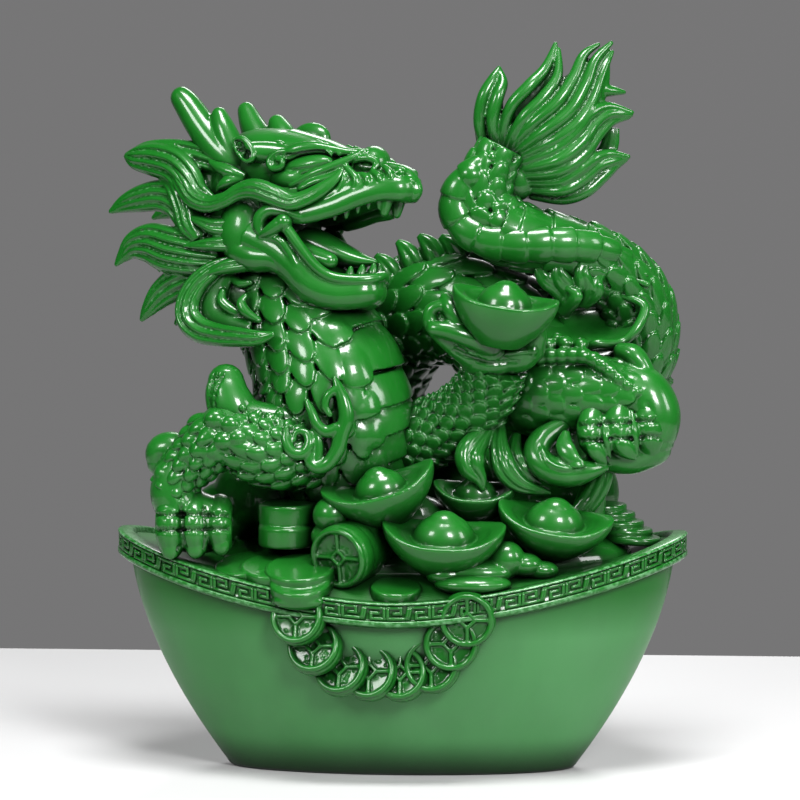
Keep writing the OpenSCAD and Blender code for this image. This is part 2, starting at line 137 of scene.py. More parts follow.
class Clay:
    """Closed shapes that will be cast together as one piece."""

    def __init__(self, matrix=None):
        self.verts, self.faces, self.count, self.matrix, self.strokes = [], [], 0, matrix, []

    def add(self, verts, faces, matrix=None):
        for m in (matrix, self.matrix):
            if m is not None:
                verts = place(m, verts)
        self.verts.append(np.asarray(verts, float).reshape(-1, 3))
        self.faces += [f + self.count for f in faces]
        self.count += len(self.verts[-1])
        return self

    def stroke(self, route, width, depth, matrix=None, steps=8):
        """A groove worked into the finished skin; a negative depth raises a line instead."""
        line = smooth_route(route, steps)
        for m in (matrix, self.matrix):
            if m is not None:
                line = place(m, line)
        self.strokes.append((line, width, depth))
        return self

    def mesh(self, name):
        mesh = bpy.data.meshes.new(name)
        verts = np.vstack(self.verts)
        sizes = np.concatenate([np.full(len(f), f.shape[1]) for f in self.faces])
        loops = np.concatenate([f.reshape(-1) for f in self.faces])
        mesh.vertices.add(len(verts))
        mesh.vertices.foreach_set("co", verts.astype(np.float32).reshape(-1))
        mesh.loops.add(len(loops))
        mesh.loops.foreach_set("vertex_index", loops.astype(np.int32))
        mesh.polygons.add(len(sizes))
        starts = np.concatenate([[0], np.cumsum(sizes)[:-1]])
        mesh.polygons.foreach_set("loop_start", starts.astype(np.int32))
        mesh.update(calc_edges=True)
        mesh.validate()
        return mesh

    # basic closed shapes

    def ball(self, at, radius, stretch=(1, 1, 1), matrix=None, sides=28):
        lat = np.linspace(-math.pi / 2, math.pi / 2, sides // 2 + 1)[1:-1]
        lon = np.arange(sides) * TAU / sides
        ring = np.stack([np.cos(lat)[:, None] * np.cos(lon), np.cos(lat)[:, None] * np.sin(lon),
                         np.sin(lat)[:, None] * np.ones(sides)], -1)
        verts, faces = closed_tube(ring)
        verts[-2:] = [[0, 0, -1], [0, 0, 1]]
        return self.add(verts * radius * np.asarray(stretch) + np.asarray(at, float), faces, matrix)

    def tube(self, route, squash=1.0, sides=20, steps=10, matrix=None, depth_ref=FRONT):
        """A round tube with domed ends."""
        sweep = Sweep(route, squash, steps, depth_ref)
        self.add(*sweep.skin(sides=sides, gap=0.5), matrix)
        for end in (0, -1):
            self.ball(sweep.centre[end], sweep.radius[end] * 0.98, matrix=matrix, sides=16,
                      stretch=(1, min(squash, 1), 1))
        return self

    def lathe(self, profile, sides=64, matrix=None):
        """A round solid from (radius, z) points that run from the bottom's middle to the top's."""
        p = np.asarray(profile, float)
        lon = np.arange(sides) * TAU / sides
        rings = np.stack([p[:, 0, None] * np.cos(lon), p[:, 0, None] * np.sin(lon),
                          p[:, 1, None] * np.ones(sides)], -1)
        return self.add(*closed_tube(rings), matrix)

    # sculpted shapes

    def lock(self, route, thick=0.45, ridges=4, carve=0.4, matrix=None, steps=10, depth_ref=FRONT,
             crown=0.55):
        """A flat lock of hair: the radius is its half width, and ridges run along it to the tip."""
        line = smooth_route(route, steps)
        centre, width = line[:, :3], line[:, 3]
        along = unit(np.gradient(centre, axis=0))
        side = unit(np.cross(np.asarray(depth_ref, float), along))
        depth = np.cross(along, side)
        x = np.linspace(-1, 1, 6 * ridges + 9)
        rise = np.power(np.clip(1 - np.abs(x) ** 2.4, 0, 1), crown)
        ridge = np.abs(np.sin(math.pi * ridges * (x + 1) / 2)) ** 0.7
        top = thick * rise * (1 - carve + carve * ridge)
        across = np.concatenate([x, x[-2:0:-1]])
        height = np.concatenate([top, -top[-2:0:-1]])
        rings = (centre[:, None] + width[:, None, None]
                 * (across[None, :, None] * side[:, None] + height[None, :, None] * depth[:, None]))
        return self.add(*closed_tube(rings), matrix)

    def plates(self, sweep, rows, lift, dome=0.5, square=0.35, root=1.2, nu=7, nv=9, matrix=None, point=0.5):
        """Overlapping scales or plates: each row is (start, length, middle angle, half angle)."""
        rows = np.asarray(rows, float)
        start, length, phi, half = (rows[:, k, None, None] for k in range(4))
        u = np.linspace(0, 1, nu)[None, :, None]
        v = np.linspace(-1, 1, nv)[None, None, :]
        reach = square + (1 - square) * np.clip(1 - np.abs(v) ** 2.2, 0, 1) ** point
        s = start + length * u * reach
        angle = phi + half * v
        crown = np.sin(math.pi * np.clip(u, 0, 0.98)) ** 0.8
        raised = lift * (u * reach) ** 1.2 + dome * (1 - v ** 2) * crown
        s = np.clip(s, 0, sweep.length)
        top = sweep.point(s, angle, raised)
        low = sweep.point(s, angle * np.ones_like(s), -root)
        n = len(rows)
        verts = np.concatenate([top.reshape(n, -1, 3), low.reshape(n, -1, 3)], 1)
        faces = slab_faces(nu, nv)
        shift = (np.arange(n) * verts.shape[1])[:, None, None]
        return self.add(verts, [(faces[None] + shift).reshape(-1, 4)], matrix)

    def scales(self, sweep, span, pitch, width, angles, overlap, lift, dome, jitter=0.03, **shape):
        """Staggered scales over a span of the skin, between two angles in degrees."""
        rows = scale_rows(sweep, *span, pitch, width, *map(math.radians, angles), overlap, jitter)
        return self.plates(sweep, rows, lift, dome, **shape)

    def belly(self, sweep, span, pitch, middle, half, overlap, lift, dome, **shape):
        """One row of broad plates over a span of the skin; its middle and half width are in degrees."""
        rows = belly_rows(*span, pitch, math.radians(middle), math.radians(half), overlap)
        return self.plates(sweep, rows, lift, dome, **shape)

    def sheet(self, rows, thick, steps=8):
        """A curved sheet through a net of points, thickened away from the viewer."""
        along = [smooth_route(row, steps) for row in rows]
        grid = np.array([smooth_route(line, steps) for line in np.array(along).transpose(1, 0, 2)])
        nu, nv = grid.shape[:2]
        top = grid.reshape(-1, 3)
        return self.add(np.vstack([top, top + [0, thick, 0]]), [slab_faces(nu, nv)])


def slab_faces(nu, nv):
    """Faces of two stacked grids joined round their edge."""
    i, j = np.meshgrid(np.arange(nu - 1), np.arange(nv - 1), indexing="ij")
    a = (i * nv + j).reshape(-1)
    top = np.stack([a, a + 1, a + nv + 1, a + nv], -1)
    under = top[:, ::-1] + nu * nv
    rim = ([k for k in range(nv)] + [r * nv + nv - 1 for r in range(1, nu)]
           + [(nu - 1) * nv + k for k in range(nv - 2, -1, -1)] + [r * nv for r in range(nu - 2, 0, -1)])
    rim = np.array(rim)
    nxt = np.roll(rim, -1)
    wall = np.stack([rim, rim + nu * nv, nxt + nu * nv, nxt], -1)
    return np.vstack([top, under, wall])


def scale_rows(sweep, s0, s1, pitch, width, phi0, phi1, overlap, jitter):
    """Staggered rows of scales over a stretch of skin, for plates()."""
    rows = []
    for i, s in enumerate(np.arange(s0, s1, pitch)):
        girth = np.interp(s, sweep.arc, sweep.radius) * (1 + sweep.squash) / 2 * (phi1 - phi0)
        count = max(1, round(girth / width))
        step = (phi1 - phi0) / count
        for k in range(count):
            phi = phi0 + (k + 0.25 + 0.5 * (i % 2)) * step
            wobble = 1 + jitter * rng.standard_normal(3)
            rows.append((s + pitch * 0.05 * wobble[2], pitch * overlap * wobble[0], phi,
                         step * 0.54 * wobble[1]))
    return rows


def belly_rows(s0, s1, pitch, phi, half, overlap):
    return [(s, pitch * overlap, phi, half) for s in np.arange(s0, s1, pitch)]


# ---------------------------------------------------------------- casting: clay to a finished piece

def finish_piece(obj, name, slot):
    obj.data.materials.clear()
    obj.data.materials.append(MATERIALS[slot])
    obj.data.polygons.foreach_set("use_smooth", [True] * len(obj.data.polygons))
    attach(obj, "root")
    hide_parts(name)


def work_strokes(mesh, strokes):
    """Moves the skin along its normals under each stroke."""
    count = len(mesh.vertices)
    co, normal = np.empty(count * 3), np.empty(count * 3)
    mesh.vertices.foreach_get("co", co)
    mesh.vertices.foreach_get("normal", normal)
    co, normal = co.reshape(-1, 3), normal.reshape(-1, 3)
    tree = KDTree(count)
    for i, point in enumerate(co):
        tree.insert(point, i)
    tree.balance()
    skin = BVHTree.FromPolygons(co.tolist(), [tuple(p.vertices) for p in mesh.polygons])
    sunk = np.zeros(count)
    for line, width, depth in strokes:
        share = np.zeros(count)
        for a, b in zip(line, line[1:]):
            pieces = max(1, int(np.linalg.norm(b - a) / 0.3))
            for t in np.arange(pieces) / pieces:
                at = skin.find_nearest(Vector(a + (b - a) * t))[0]
                for _, i, gap in tree.find_range(at, width):
                    share[i] = max(share[i], 1 - (gap / width) ** 2)
        sunk += depth * share
    mesh.vertices.foreach_set("co", (co - normal * sunk[:, None]).reshape(-1))
    mesh.update()


def cast(name, slot, clay, voxel=VOXEL, soften=2):
    """Fuses the clay on a fine grid, softens it, works the strokes in and scales it to metres."""
    obj = bpy.data.objects.new(name, clay.mesh(name))
    bpy.context.scene.collection.objects.link(obj)
    remesh = obj.modifiers.new("cast", "REMESH")
    remesh.mode = "VOXEL"
    remesh.voxel_size = voxel
    smooth = obj.modifiers.new("soften", "SMOOTH")
    smooth.factor = 0.5
    smooth.iterations = soften
    thin = obj.modifiers.new("thin", "DECIMATE")
    thin.ratio = KEEP
    graph = bpy.context.evaluated_depsgraph_get()
    made = bpy.data.meshes.new_from_object(obj.evaluated_get(graph))
    obj.modifiers.clear()
    obj.data = made
    if clay.strokes:
        work_strokes(made, clay.strokes)
    made.transform(Matrix.Scale(MM, 4))
    finish_piece(obj, name, slot)


def shell(name, slot, clay):
    """Keeps the clay's own clean grid, in metres."""
    mesh = clay.mesh(name)
    mesh.transform(Matrix.Scale(MM, 4))
    obj = bpy.data.objects.new(name, mesh)
    bpy.context.scene.collection.objects.link(obj)
    finish_piece(obj, name, slot)


# ---------------------------------------------------------------- materials

def node_of(tree, kind, **values):
    node = tree.nodes.new(kind)
    for key, value in values.items():
        if key in node.inputs:
            node.inputs[key].default_value = value
        else:
            setattr(node, key, value)
    return node


def noise_of(tree, coords, scale, detail=4.0):
    noise = node_of(tree, "ShaderNodeTexNoise")
    noise.inputs["Scale"].default_value = scale
    noise.inputs["Detail"].default_value = detail
    tree.links.new(coords, noise.inputs["Vector"])
    return noise.outputs["Fac"]


def ramp_of(tree, source, stops):
    ramp = tree.nodes.new("ShaderNodeValToRGB")
    ramp.color_ramp.elements[0].position, ramp.color_ramp.elements[0].color = stops[0]
    ramp.color_ramp.elements[1].position, ramp.color_ramp.elements[1].color = stops[-1]
    for position, colour in stops[1:-1]:
        ramp.color_ramp.elements.new(position).color = colour
    tree.links.new(source, ramp.inputs["Fac"])
    return ramp.outputs["Color"]


def grey(v):
    return (v, v, v, 1)


def blend_colours(tree, factor, first, second):
    mix = tree.nodes.new("ShaderNodeMix")
    mix.data_type = "RGBA"
    for socket, value in ((mix.inputs[0], factor), (mix.inputs[6], first), (mix.inputs[7], second)):
        if hasattr(value, "is_linked"):
            tree.links.new(value, socket)
        else:
            socket.default_value = value
    return mix.outputs[2]


def multiply(tree, a, b):
    node = node_of(tree, "ShaderNodeMath", operation="MULTIPLY")
    tree.links.new(a, node.inputs[0])
    if hasattr(b, "is_linked"):
        tree.links.new(b, node.inputs[1])
    else:
        node.inputs[1].default_value = b
    return node.outputs[0]


GREEN = (0.0056, 0.088, 0.0077, 1)
DEEP_GREEN = (0.0021, 0.053, 0.0035, 1)
CHALK = (0.17, 0.38, 0.19, 1)            # powder left in the grooves
PAINTED_SHADE = (0.0008, 0.010, 0.0012, 1)        # painted shade: near-black green laid over the colour in recesses, where shade falls
HAZE = (0.09, 0.25, 0.104, 1)            # dry film on the foot
HAZE_STARTS, HAZE_FULL = 0.047, 0.036    # heights in metres
PAINTED_SHADE_REACH = 0.011                       # how far a recess is felt by the painted shade, in metres
BUMP_HEIGHT = 0.0002


def resin(name, roughness=(0.28, 0.42), coat=0.45, dust=0.6, haze=0.0):
    """Dyed cast resin: mottled green, pale dust in the grooves, gloss that varies with the mottle."""
    material = bpy.data.materials.new(name)
    material.use_nodes = True
    tree = material.node_tree
    shader = tree.nodes["Principled BSDF"]
    coords = tree.nodes.new("ShaderNodeTexCoord").outputs["Object"]
    mottle = noise_of(tree, coords, 90.0)
    grain = noise_of(tree, coords, 900.0, 6.0)
    colour = blend_colours(tree, ramp_of(tree, mottle, [(0.35, grey(0)), (0.7, grey(1))]), DEEP_GREEN, GREEN)
    colour = blend_colours(tree, 0.55, colour, GREEN)
    edge = tree.nodes.new("ShaderNodeNewGeometry").outputs["Pointiness"]
    groove = ramp_of(tree, edge, [(0.40, grey(1)), (0.485, grey(0))])
    patches = ramp_of(tree, grain, [(0.45, grey(0)), (0.62, grey(1))])
    powder = multiply(tree, multiply(tree, groove, patches), dust)
    colour = blend_colours(tree, powder, colour, CHALK)
    if haze:
        colour = add_haze(tree, colour, coords, haze)
    # painted shade: the colour darkens towards near-black green in recesses, where shade falls
    colour = blend_colours(tree, recess_shade(tree), colour, PAINTED_SHADE)
    tree.links.new(colour, shader.inputs["Base Color"])
    low, high = roughness
    gloss = ramp_of(tree, mottle, [(0.3, grey(low)), (0.75, grey(high))])
    tree.links.new(gloss, shader.inputs["Roughness"])
    shader.inputs["Coat Weight"].default_value = coat
    shader.inputs["Coat Roughness"].default_value = 0.12
    shader.inputs["Specular IOR Level"].default_value = 0.16
    bump = node_of(tree, "ShaderNodeBump")
    bump.inputs["Strength"].default_value = 0.12
    bump.inputs["Distance"].default_value = BUMP_HEIGHT
    tree.links.new(noise_of(tree, coords, 420.0, 3.0), bump.inputs["Height"])
    tree.links.new(bump.outputs["Normal"], shader.inputs["Normal"])
    return material


def recess_shade(tree):
    """How much painted shade darkens the colour: full in deep recesses, none on open faces."""
    hollow = node_of(tree, "ShaderNodeAmbientOcclusion", samples=6)
    hollow.inputs["Distance"].default_value = PAINTED_SHADE_REACH
    return ramp_of(tree, hollow.outputs["AO"], [(0.28, grey(1)), (0.86, grey(0))])


def add_haze(tree, colour, coords, amount):
    """A dry, paler film that thickens towards the foot, with long faint streaks."""
    split = tree.nodes.new("ShaderNodeSeparateXYZ")
    tree.links.new(coords, split.inputs[0])
    fall = node_of(tree, "ShaderNodeMapRange")
    fall.inputs["From Min"].default_value = HAZE_STARTS
    fall.inputs["From Max"].default_value = HAZE_FULL
    tree.links.new(split.outputs["Z"], fall.inputs["Value"])
    streaks = noise_of(tree, stretched(tree, coords), 30.0, 5.0)
    veil = multiply(tree, fall.outputs[0], ramp_of(tree, streaks, [(0.25, grey(0.45)), (0.75, grey(1))]))
    return blend_colours(tree, multiply(tree, veil, amount), colour, HAZE)


def stretched(tree, coords):
    mapping = tree.nodes.new("ShaderNodeMapping")
    mapping.inputs["Scale"].default_value = (1.0, 1.0, 0.25)
    tree.links.new(coords, mapping.inputs["Vector"])
    return mapping.outputs[0]


MATERIALS = {
    "hull_resin": resin("hull_resin", roughness=(0.4, 0.55), coat=0.15, dust=0.3, haze=0.52),
    "band_resin": resin("band_resin", dust=0.8),
    "coin_resin": resin("coin_resin", roughness=(0.26, 0.4), coat=0.35, dust=0.8),
    "treasure_resin": resin("treasure_resin", dust=0.35),
    "scale_resin": resin("scale_resin", dust=0.7),
    "skin_resin": resin("skin_resin", dust=0.45),
    "hair_resin": resin("hair_resin", dust=0.8),
}


# ---------------------------------------------------------------- base

RIM_A, RIM_B = 71.5, 37.5
RIM_END_Z, RIM_MID_Z = 60.0, 46.5
OVERHANG = 3.0
DECK_CURVE = 5           # how late the deck falls away towards the rim
FOOT_A, FOOT_B = 43.0, 15.0
SADDLE_TURN, HULL_TURN = 1.7, 1.75
DECK_DROP, DECK_RISE = 1.2, 7.0


def saddle(t):
    return RIM_MID_Z + (RIM_END_Z - RIM_MID_Z) * np.abs(np.cos(t)) ** SADDLE_TURN


def flank_axes(share):
    stand = 1 - (1 - share) ** HULL_TURN
    return (FOOT_A + (RIM_A - OVERHANG - FOOT_A) * stand, FOOT_B + (RIM_B - OVERHANG - FOOT_B) * stand)


def flank_point(x, z):
    """y of the front flank at (x, z)."""
    a, b = flank_axes(min(z / RIM_MID_Z, 1))
    return -b * math.sqrt(1 - (x / a) ** 2)


def ingot_hull():
    t = np.arange(256) * TAU / 256
    rings = []
    for z, inset in ((0.0, 1.0), (0.12, 0.45), (0.45, 0.12), (0.9, 0.0)):      # rounded foot edge
        a, b = flank_axes(z / 52)
        rings.append(np.stack([(a - inset) * np.cos(t), (b - inset) * np.sin(t), np.full_like(t, z)], -1))
    for share in np.linspace(0.03, 1, 44):
        a, b = flank_axes(share)
        rings.append(np.stack([a * np.cos(t), b * np.sin(t), share * (saddle(t) - DECK_DROP)], -1))
    a, b = flank_axes(1.0)
    for r in np.linspace(0.985, 0.02, 30):
        edge = r ** DECK_CURVE
        z = edge * (saddle(t) - DECK_DROP) + (1 - edge) * (RIM_MID_Z - DECK_DROP + DECK_RISE)
        rings.append(np.stack([a * r * np.cos(t), b * r * np.sin(t), z], -1))
    shell("ingot_hull", "hull_resin", Clay().add(*closed_tube(np.array(rings))))


def rim_table():
    t = np.linspace(0, TAU, 2881)
    xy = np.stack([RIM_A * np.cos(t), RIM_B * np.sin(t)], -1)
    arc = np.concatenate([[0], np.cumsum(np.linalg.norm(np.diff(xy, axis=0), axis=1))])
    return t, arc


RIM_T, RIM_ARC = rim_table()


def rim_point(arc, drop, out):
    """A point on the rim: along it, below its top and out of its face, in mm."""
    t = np.interp(np.mod(arc, RIM_ARC[-1]), RIM_ARC, RIM_T)
    normal = unit(np.stack([np.cos(t) / RIM_A, np.sin(t) / RIM_B], -1))
    xy = np.stack([RIM_A * np.cos(t), RIM_B * np.sin(t)], -1) + normal * np.asarray(out)[..., None]
    return np.concatenate([xy, (saddle(t) - drop)[..., None]], -1)


FIELD_OUT = -0.85        # the fret's floor, out of the band's face
# section of the band: (drop below the top, distance out of the face)
BAND_SECTION = [(0.5, -4.2), (0.05, -3.4), (0.0, -1.0), (0.05, -0.45), (0.3, -0.08), (0.6, -0.05),
                (0.75, -0.7), (0.9, FIELD_OUT), (4.4, FIELD_OUT), (4.55, -0.7), (4.7, -0.1), (4.9, 0.0),
                (5.7, 0.0), (6.0, -0.3), (6.4, -1.2), (6.7, -2.6), (6.9, -3.6), (3.5, -4.2)]
FRET_UNIT = 5.6          # length of one spiral
FRET_BAR = 0.42          # half width of a raised line
FRET_HIGH = 0.62         # its height above the band's floor
FRET_TOP, FRET_DEEP = 1.15, 3.0   # where the fret starts below the band's top, and its height
# one spiral, as shares of its length and of the field's height
FRET_PATH = [(0.0, 0.95), (0.1, 0.05), (0.92, 0.05), (0.92, 0.95), (0.34, 0.95), (0.34, 0.48), (0.64, 0.48)]


def fret_bar(clay, a, b):
    """A raised line between two points of the band's field: (arc, drop) each."""
    a, b = np.array(a), np.array(b)
    way = (b - a) / np.linalg.norm(b - a)
    cross = np.array([-way[1], way[0]])
    ends = [a - way * FRET_BAR, b + way * FRET_BAR]
    share = np.linspace(0, 1, 4)[:, None]
    middle = ends[0] * (1 - share) + ends[1] * share
    crest, shoulder = FIELD_OUT + FRET_HIGH, FIELD_OUT + FRET_HIGH * 0.7
    rings = []
    for m in middle:
        section = [(-1.25, -1.6), (-1.0, shoulder), (-0.5, crest),
                   (0.5, crest), (1.0, shoulder), (1.25, -1.6)]
        flat = np.array([m + cross * FRET_BAR * w for w, _ in section])
        rings.append(rim_point(flat[:, 0], flat[:, 1], np.array([o for _, o in section])))
    clay.add(*closed_tube(np.array(rings)))


def rim_band():
    clay = Clay()
    arc = np.linspace(0, RIM_ARC[-1], 721)[:-1]
    section = np.array(BAND_SECTION)
    rings = np.array([rim_point(arc, d, np.full_like(arc, o)) for d, o in section]).transpose(1, 0, 2)
    clay.add(rings.reshape(-1, 3), [loop_quads(len(arc), len(section))])
    units = round(RIM_ARC[-1] / FRET_UNIT)
    pitch = RIM_ARC[-1] / units
    for u in range(units):
        flip = u % 2
        path = [(u * pitch + pitch * ((1 - x) if flip else x),
                 FRET_TOP + FRET_DEEP * ((1 - y) if flip else y))
                for x, y in FRET_PATH]
        for a, b in zip(path, path[1:]):
            fret_bar(clay, a, b)
    shell("rim_band", "band_resin", clay)


def treasure_bed():
    clay = Clay()
    clay.ball((-4, 1, 52), 1, stretch=(42, 25, 9))
    clay.ball((24, 1, 54), 1, stretch=(34, 22, 8))
    clay.ball((-13, 6, 58), 1, stretch=(24, 20, 10))
    clay.ball((22, 6, 58), 1, stretch=(26, 19, 9))
    for x, y, z, r in ((-38, 5, 68, 10), (-29, 3, 68, 11), (-45, 6, 62, 9), (34, 14, 76, 13),
                       (26, 14, 70, 13), (42, 14, 68, 12), (4, -9, 58, 12), (14, 8, 68, 11)):
        clay.ball((x, y, z), 1, (r, r * 0.8, r))
    for k in range(60):                      # loose small coins and nuggets half sunk in the heap
        angle, reach = rng.uniform(0, TAU), math.sqrt(rng.uniform(0.2, 0.95))
        x, y = 6 + 46 * reach * math.cos(angle), 3 + 25 * reach * math.sin(angle)
        z = 54 + 8 * (1 - reach ** 2)
        tip = turn(rng.uniform(-30, 30), rng.uniform(-30, 30), 0, (x, y, z))
        if k % 3:
            clay.lathe([(4.4, -1), (4.6, 0.5), (4.0, 1.0), (3.2, 0.9)], 24, tip)
        else:
            clay.ball((0, 0, 0), rng.uniform(2.2, 3.6), (1.2, 1, 0.8), tip, 16)
    cast("treasure_bed", "treasure_resin", clay, voxel=VOXEL * 1.6, soften=3)


# ---------------------------------------------------------------- coins

COIN_R = 6.7
HOLE_R = 1.95            # middle to corner of the diamond hole


def cash_coin(clay, matrix, radius=COIN_R, thick=2.0):
    """Raised ring, four spokes and a bordered diamond hole over a sunk field."""
    clay.lathe([(radius + 0.35, -1.6), (radius + 0.3, 0.2), (radius + 0.1, 0.5), (radius - 0.2, 0.6)], 64,
               matrix)
    loop_r = radius - 0.75
    around = np.arange(72)[:, None] * TAU / 72
    across = np.arange(12)[None, :] * TAU / 12
    reach = loop_r + 0.78 * np.cos(across)
    ring = np.stack([reach * np.cos(around), reach * np.sin(around),
                     thick * 0.62 + 0.85 * np.sin(across) * np.ones((72, 1))], -1)
    clay.add(ring.reshape(-1, 3), [loop_quads(72, 12)], matrix)
    for quarter in range(4):
        spin = matrix @ Matrix.Rotation(quarter * math.pi / 2, 4, "Z")
        clay.tube([(HOLE_R, 0, 1.15, 0.55), (loop_r, 0, 1.15, 0.6)], sides=10, steps=2, matrix=spin,
                  depth_ref=(0, 0, 1))
        clay.tube([(HOLE_R, 0, 1.2, 0.52), (0, HOLE_R, 1.2, 0.52)], sides=10, steps=2, matrix=spin,
                  depth_ref=(0, 0, 1))
    for k in range(26):                       # grainy sunk field
        a, r = rng.uniform(0, TAU), rng.uniform(2.6, loop_r - 0.8)
        clay.ball((r * math.cos(a), r * math.sin(a), 0.55), rng.uniform(0.25, 0.42), matrix=matrix, sides=8)


# centre x, z on the front flank, and how far the coin's back stands off it
GARLAND = [(-23.2, 42.3, 3.0), (-19.2, 34.8, 2.6), (-12.8, 29.5, 2.5), (-5.6, 28.5, 2.5), (2.0, 28.4, 2.5),
           (9.6, 30.5, 2.5), (14.4, 36.2, 2.4), (18.4, 42.3, 2.8)]
GARLAND_FAN = math.radians(12)       # tips each coin so that it tucks under the one before it


def garland():
    for i, (x, z, off) in enumerate(GARLAND):
        lean = math.degrees(math.atan((flank_point(x, z - 2) - flank_point(x, z + 2)) / 4))
        swing = math.degrees(math.atan(x * RIM_B / RIM_A ** 2))
        before, after = GARLAND[max(i - 1, 0)], GARLAND[min(i + 1, len(GARLAND) - 1)]
        along = math.atan2(after[1] - before[1], after[0] - before[0])
        to_chain, back = Matrix.Rotation(along, 4, "Z"), Matrix.Rotation(-along, 4, "Z")
        tip = to_chain @ Matrix.Rotation(-GARLAND_FAN, 4, "Y") @ back
        clay = Clay()
        cash_coin(clay, turn(90 - lean, 0, swing, (x, flank_point(x, z) - off + 1.2, z)) @ tip)
        name = f"garland_coin_{i + 1}"
        cast(name, "coin_resin", clay, voxel=VOXEL * 0.75, soften=1)


def disc(clay, matrix, radius, thick, lip=0.5):
    clay.lathe([(radius - 0.5, 0), (radius - 0.1, 0.25), (radius, 0.7), (radius, thick - 0.7),
                (radius - 0.15, thick - 0.2), (radius - 0.6, thick), (radius - 1.5, thick - 0.12 * lip)],
                64, matrix)


def coin_roll():
    clay = Clay()
    face = turn(98, 0, -27, (-13.0, -29.8, 56.8))
    cash_coin(clay, face, 7.7, 2.2)
    for k in range(5):
        disc(clay, face @ Matrix.Translation((0, 0, -3.0 * (k + 1) - 0.3)), 8.0 - 0.12 * k, 3.3)
    cast("coin_roll", "treasure_resin", clay, soften=1)


def thick_discs():
    clay = Clay()
    disc(clay, turn(2, 0, 0, (-27.4, -17, 57.8)), 7.1, 5.4)
    disc(clay, turn(2, -1, 0, (-27.2, -16, 63.3)), 7.3, 5.2)
    cast("thick_discs", "treasure_resin", clay, soften=2)


def deck_coins():
    clay = Clay()
    disc(clay, turn(13, 2, 0, (0.5, -29.5, 46.6)), 6.4, 3.4)
    disc(clay, turn(12, -6, 0, (-36, -21, 49.6)), 8.6, 4.8)
    disc(clay, turn(13, 2, 0, (-30, -24, 49.2)), 8.4, 4.8)
    cast("deck_coins", "treasure_resin", clay, soften=2)


def rim_slabs():
    clay = Clay()
    disc(clay, turn(15, -2, 0, (-23, -27, 49.0)), 8.8, 5.4)
    disc(clay, turn(22, -1, 0, (-22.8, -31.0, 48.4)), 7.6, 3.2)
    clay.ball((-22.8, -35.6, 46.6), 1, (6.3, 2.6, 2.3))
    clay.ball((19.5, -30.0, 50.4), 1, (9.6, 5.6, 2.8))
    cast("rim_slabs", "treasure_resin", clay, soften=4)


def nuggets():
    clay = Clay()
    clay.ball((20, -27.4, 52.8), 1, (9.2, 5.0, 3.6))
    clay.ball((13, -28.4, 52.4), 1, (5.2, 4.0, 2.8))
    clay.ball((27.6, -26.0, 56.0), 1, (4.6, 4.0, 4.6))
    clay.ball((32.0, -25.0, 54.6), 1, (4.4, 3.6, 3.0))
    clay.ball((36.0, -24.0, 53.2), 1, (4.4, 3.2, 2.4))
    cast("nuggets", "treasure_resin", clay, soften=5)


def side_coin_stack():
    clay = Clay()
    for i in range(5):
        disc(clay, turn(0, 4 - i, 0, (57.5 - i * 1.7, 1 + 0.4 * (i % 2), 57 + i * 2.0)), 7.4 - i * 0.45, 1.9)
    cast("side_coin_stack", "treasure_resin", clay, soften=1)


def fist_prop():
    clay = Clay()
    clay.tube([(46, -3, 60, 5.2), (47, -4, 66, 4.2), (48.5, -5, 73, 3.2), (50, -6, 80, 3.6)], 0.9, 24)
    clay.lock([(51, -8, 82, 2.2), (50, -9, 74, 3.0), (46, -10, 67, 2.6), (41, -11, 64, 1.0)], 0.5, 3)
    cast("fist_prop", "treasure_resin", clay, soften=2)


# ---------------------------------------------------------------- ingots

def sycee(clay, matrix, length, wide, high, dip, bead, deep=0.95, curl=2.4):
    """A boat-shaped ingot: thick lip raised at both blunt ends, a sunk top and a bead in the middle."""
    t = np.arange(96) * TAU / 96
    blunt = np.abs(np.cos(t)) ** 0.82 * np.sign(np.cos(t))
    edge = dip + (high - dip) * np.abs(np.cos(t)) ** curl
    rings = []
    for share in np.linspace(0, 1, 16):
        stand = 1 - (1 - share) ** 1.9
        a = length * (0.20 + 0.30 * stand)
        b = wide * (0.26 + 0.24 * stand)
        rings.append(np.stack([a * blunt, b * np.sin(t), share * edge], -1))
    for r, rise in ((0.99, 0.28), (0.96, 0.42), (0.88, 0.40), (0.76, 0.1), (0.68, -0.5), (0.5, -1.0),
                    (0.25, -1.2), (0.05, -1.2)):
        z = edge * r * r + dip * deep * (1 - r * r) + rise
        rings.append(np.stack([length * 0.5 * r * blunt, wide * 0.5 * r * np.sin(t), z], -1))
    clay.add(*closed_tube(np.array(rings)), matrix)
    clay.ball((0, 0, dip * 0.82), bead, (1.0, 0.84, 0.92), matrix, 40)
    clay.ball((0, 0, dip * 0.82 + bead * 0.45), bead * 0.58, (1.05, 0.9, 1.0), matrix, 32)


INGOTS = {      # name: placement, length, width, end height, middle height, bead radius
    "ingot_1": (turn(14, -15, 0, (-1.6, -20.5, 64.6)), 29, 18, 12.5, 9.2, 6.8),
    "ingot_2": (turn(16, 2, 2, (11.8, -24.5, 52.8)), 30.5, 19, 12.5, 9.4, 8.0),
    "ingot_3": (turn(18, 9, 0, (37.8, -16.5, 56.6)), 29, 17, 11.5, 8.6, 7.6),
    "ingot_4": (turn(14, 1, 0, (19, -11, 64.2)), 21, 14, 9.5, 7.0, 5.4),
    "claw_ingot": (turn(8, 9, -6, (25.4, -21.5, 108.6)), 26.8, 17, 13.0, 11.2, 7.0),
}


def ingots():
    for name, (matrix, length, wide, high, dip, bead) in INGOTS.items():
        clay = Clay()
        sycee(clay, matrix, length, wide, high, dip, bead)
        cast(name, "treasure_resin", clay, soften=3)


def pearl():
    clay = Clay().ball((-15.8, -24, 66.4), 4.6, sides=48)
    clay.ball((-16, -23, 61), 1, (5, 4, 4), sides=24)
    cast("pearl", "treasure_resin", clay)


# ---------------------------------------------------------------- body

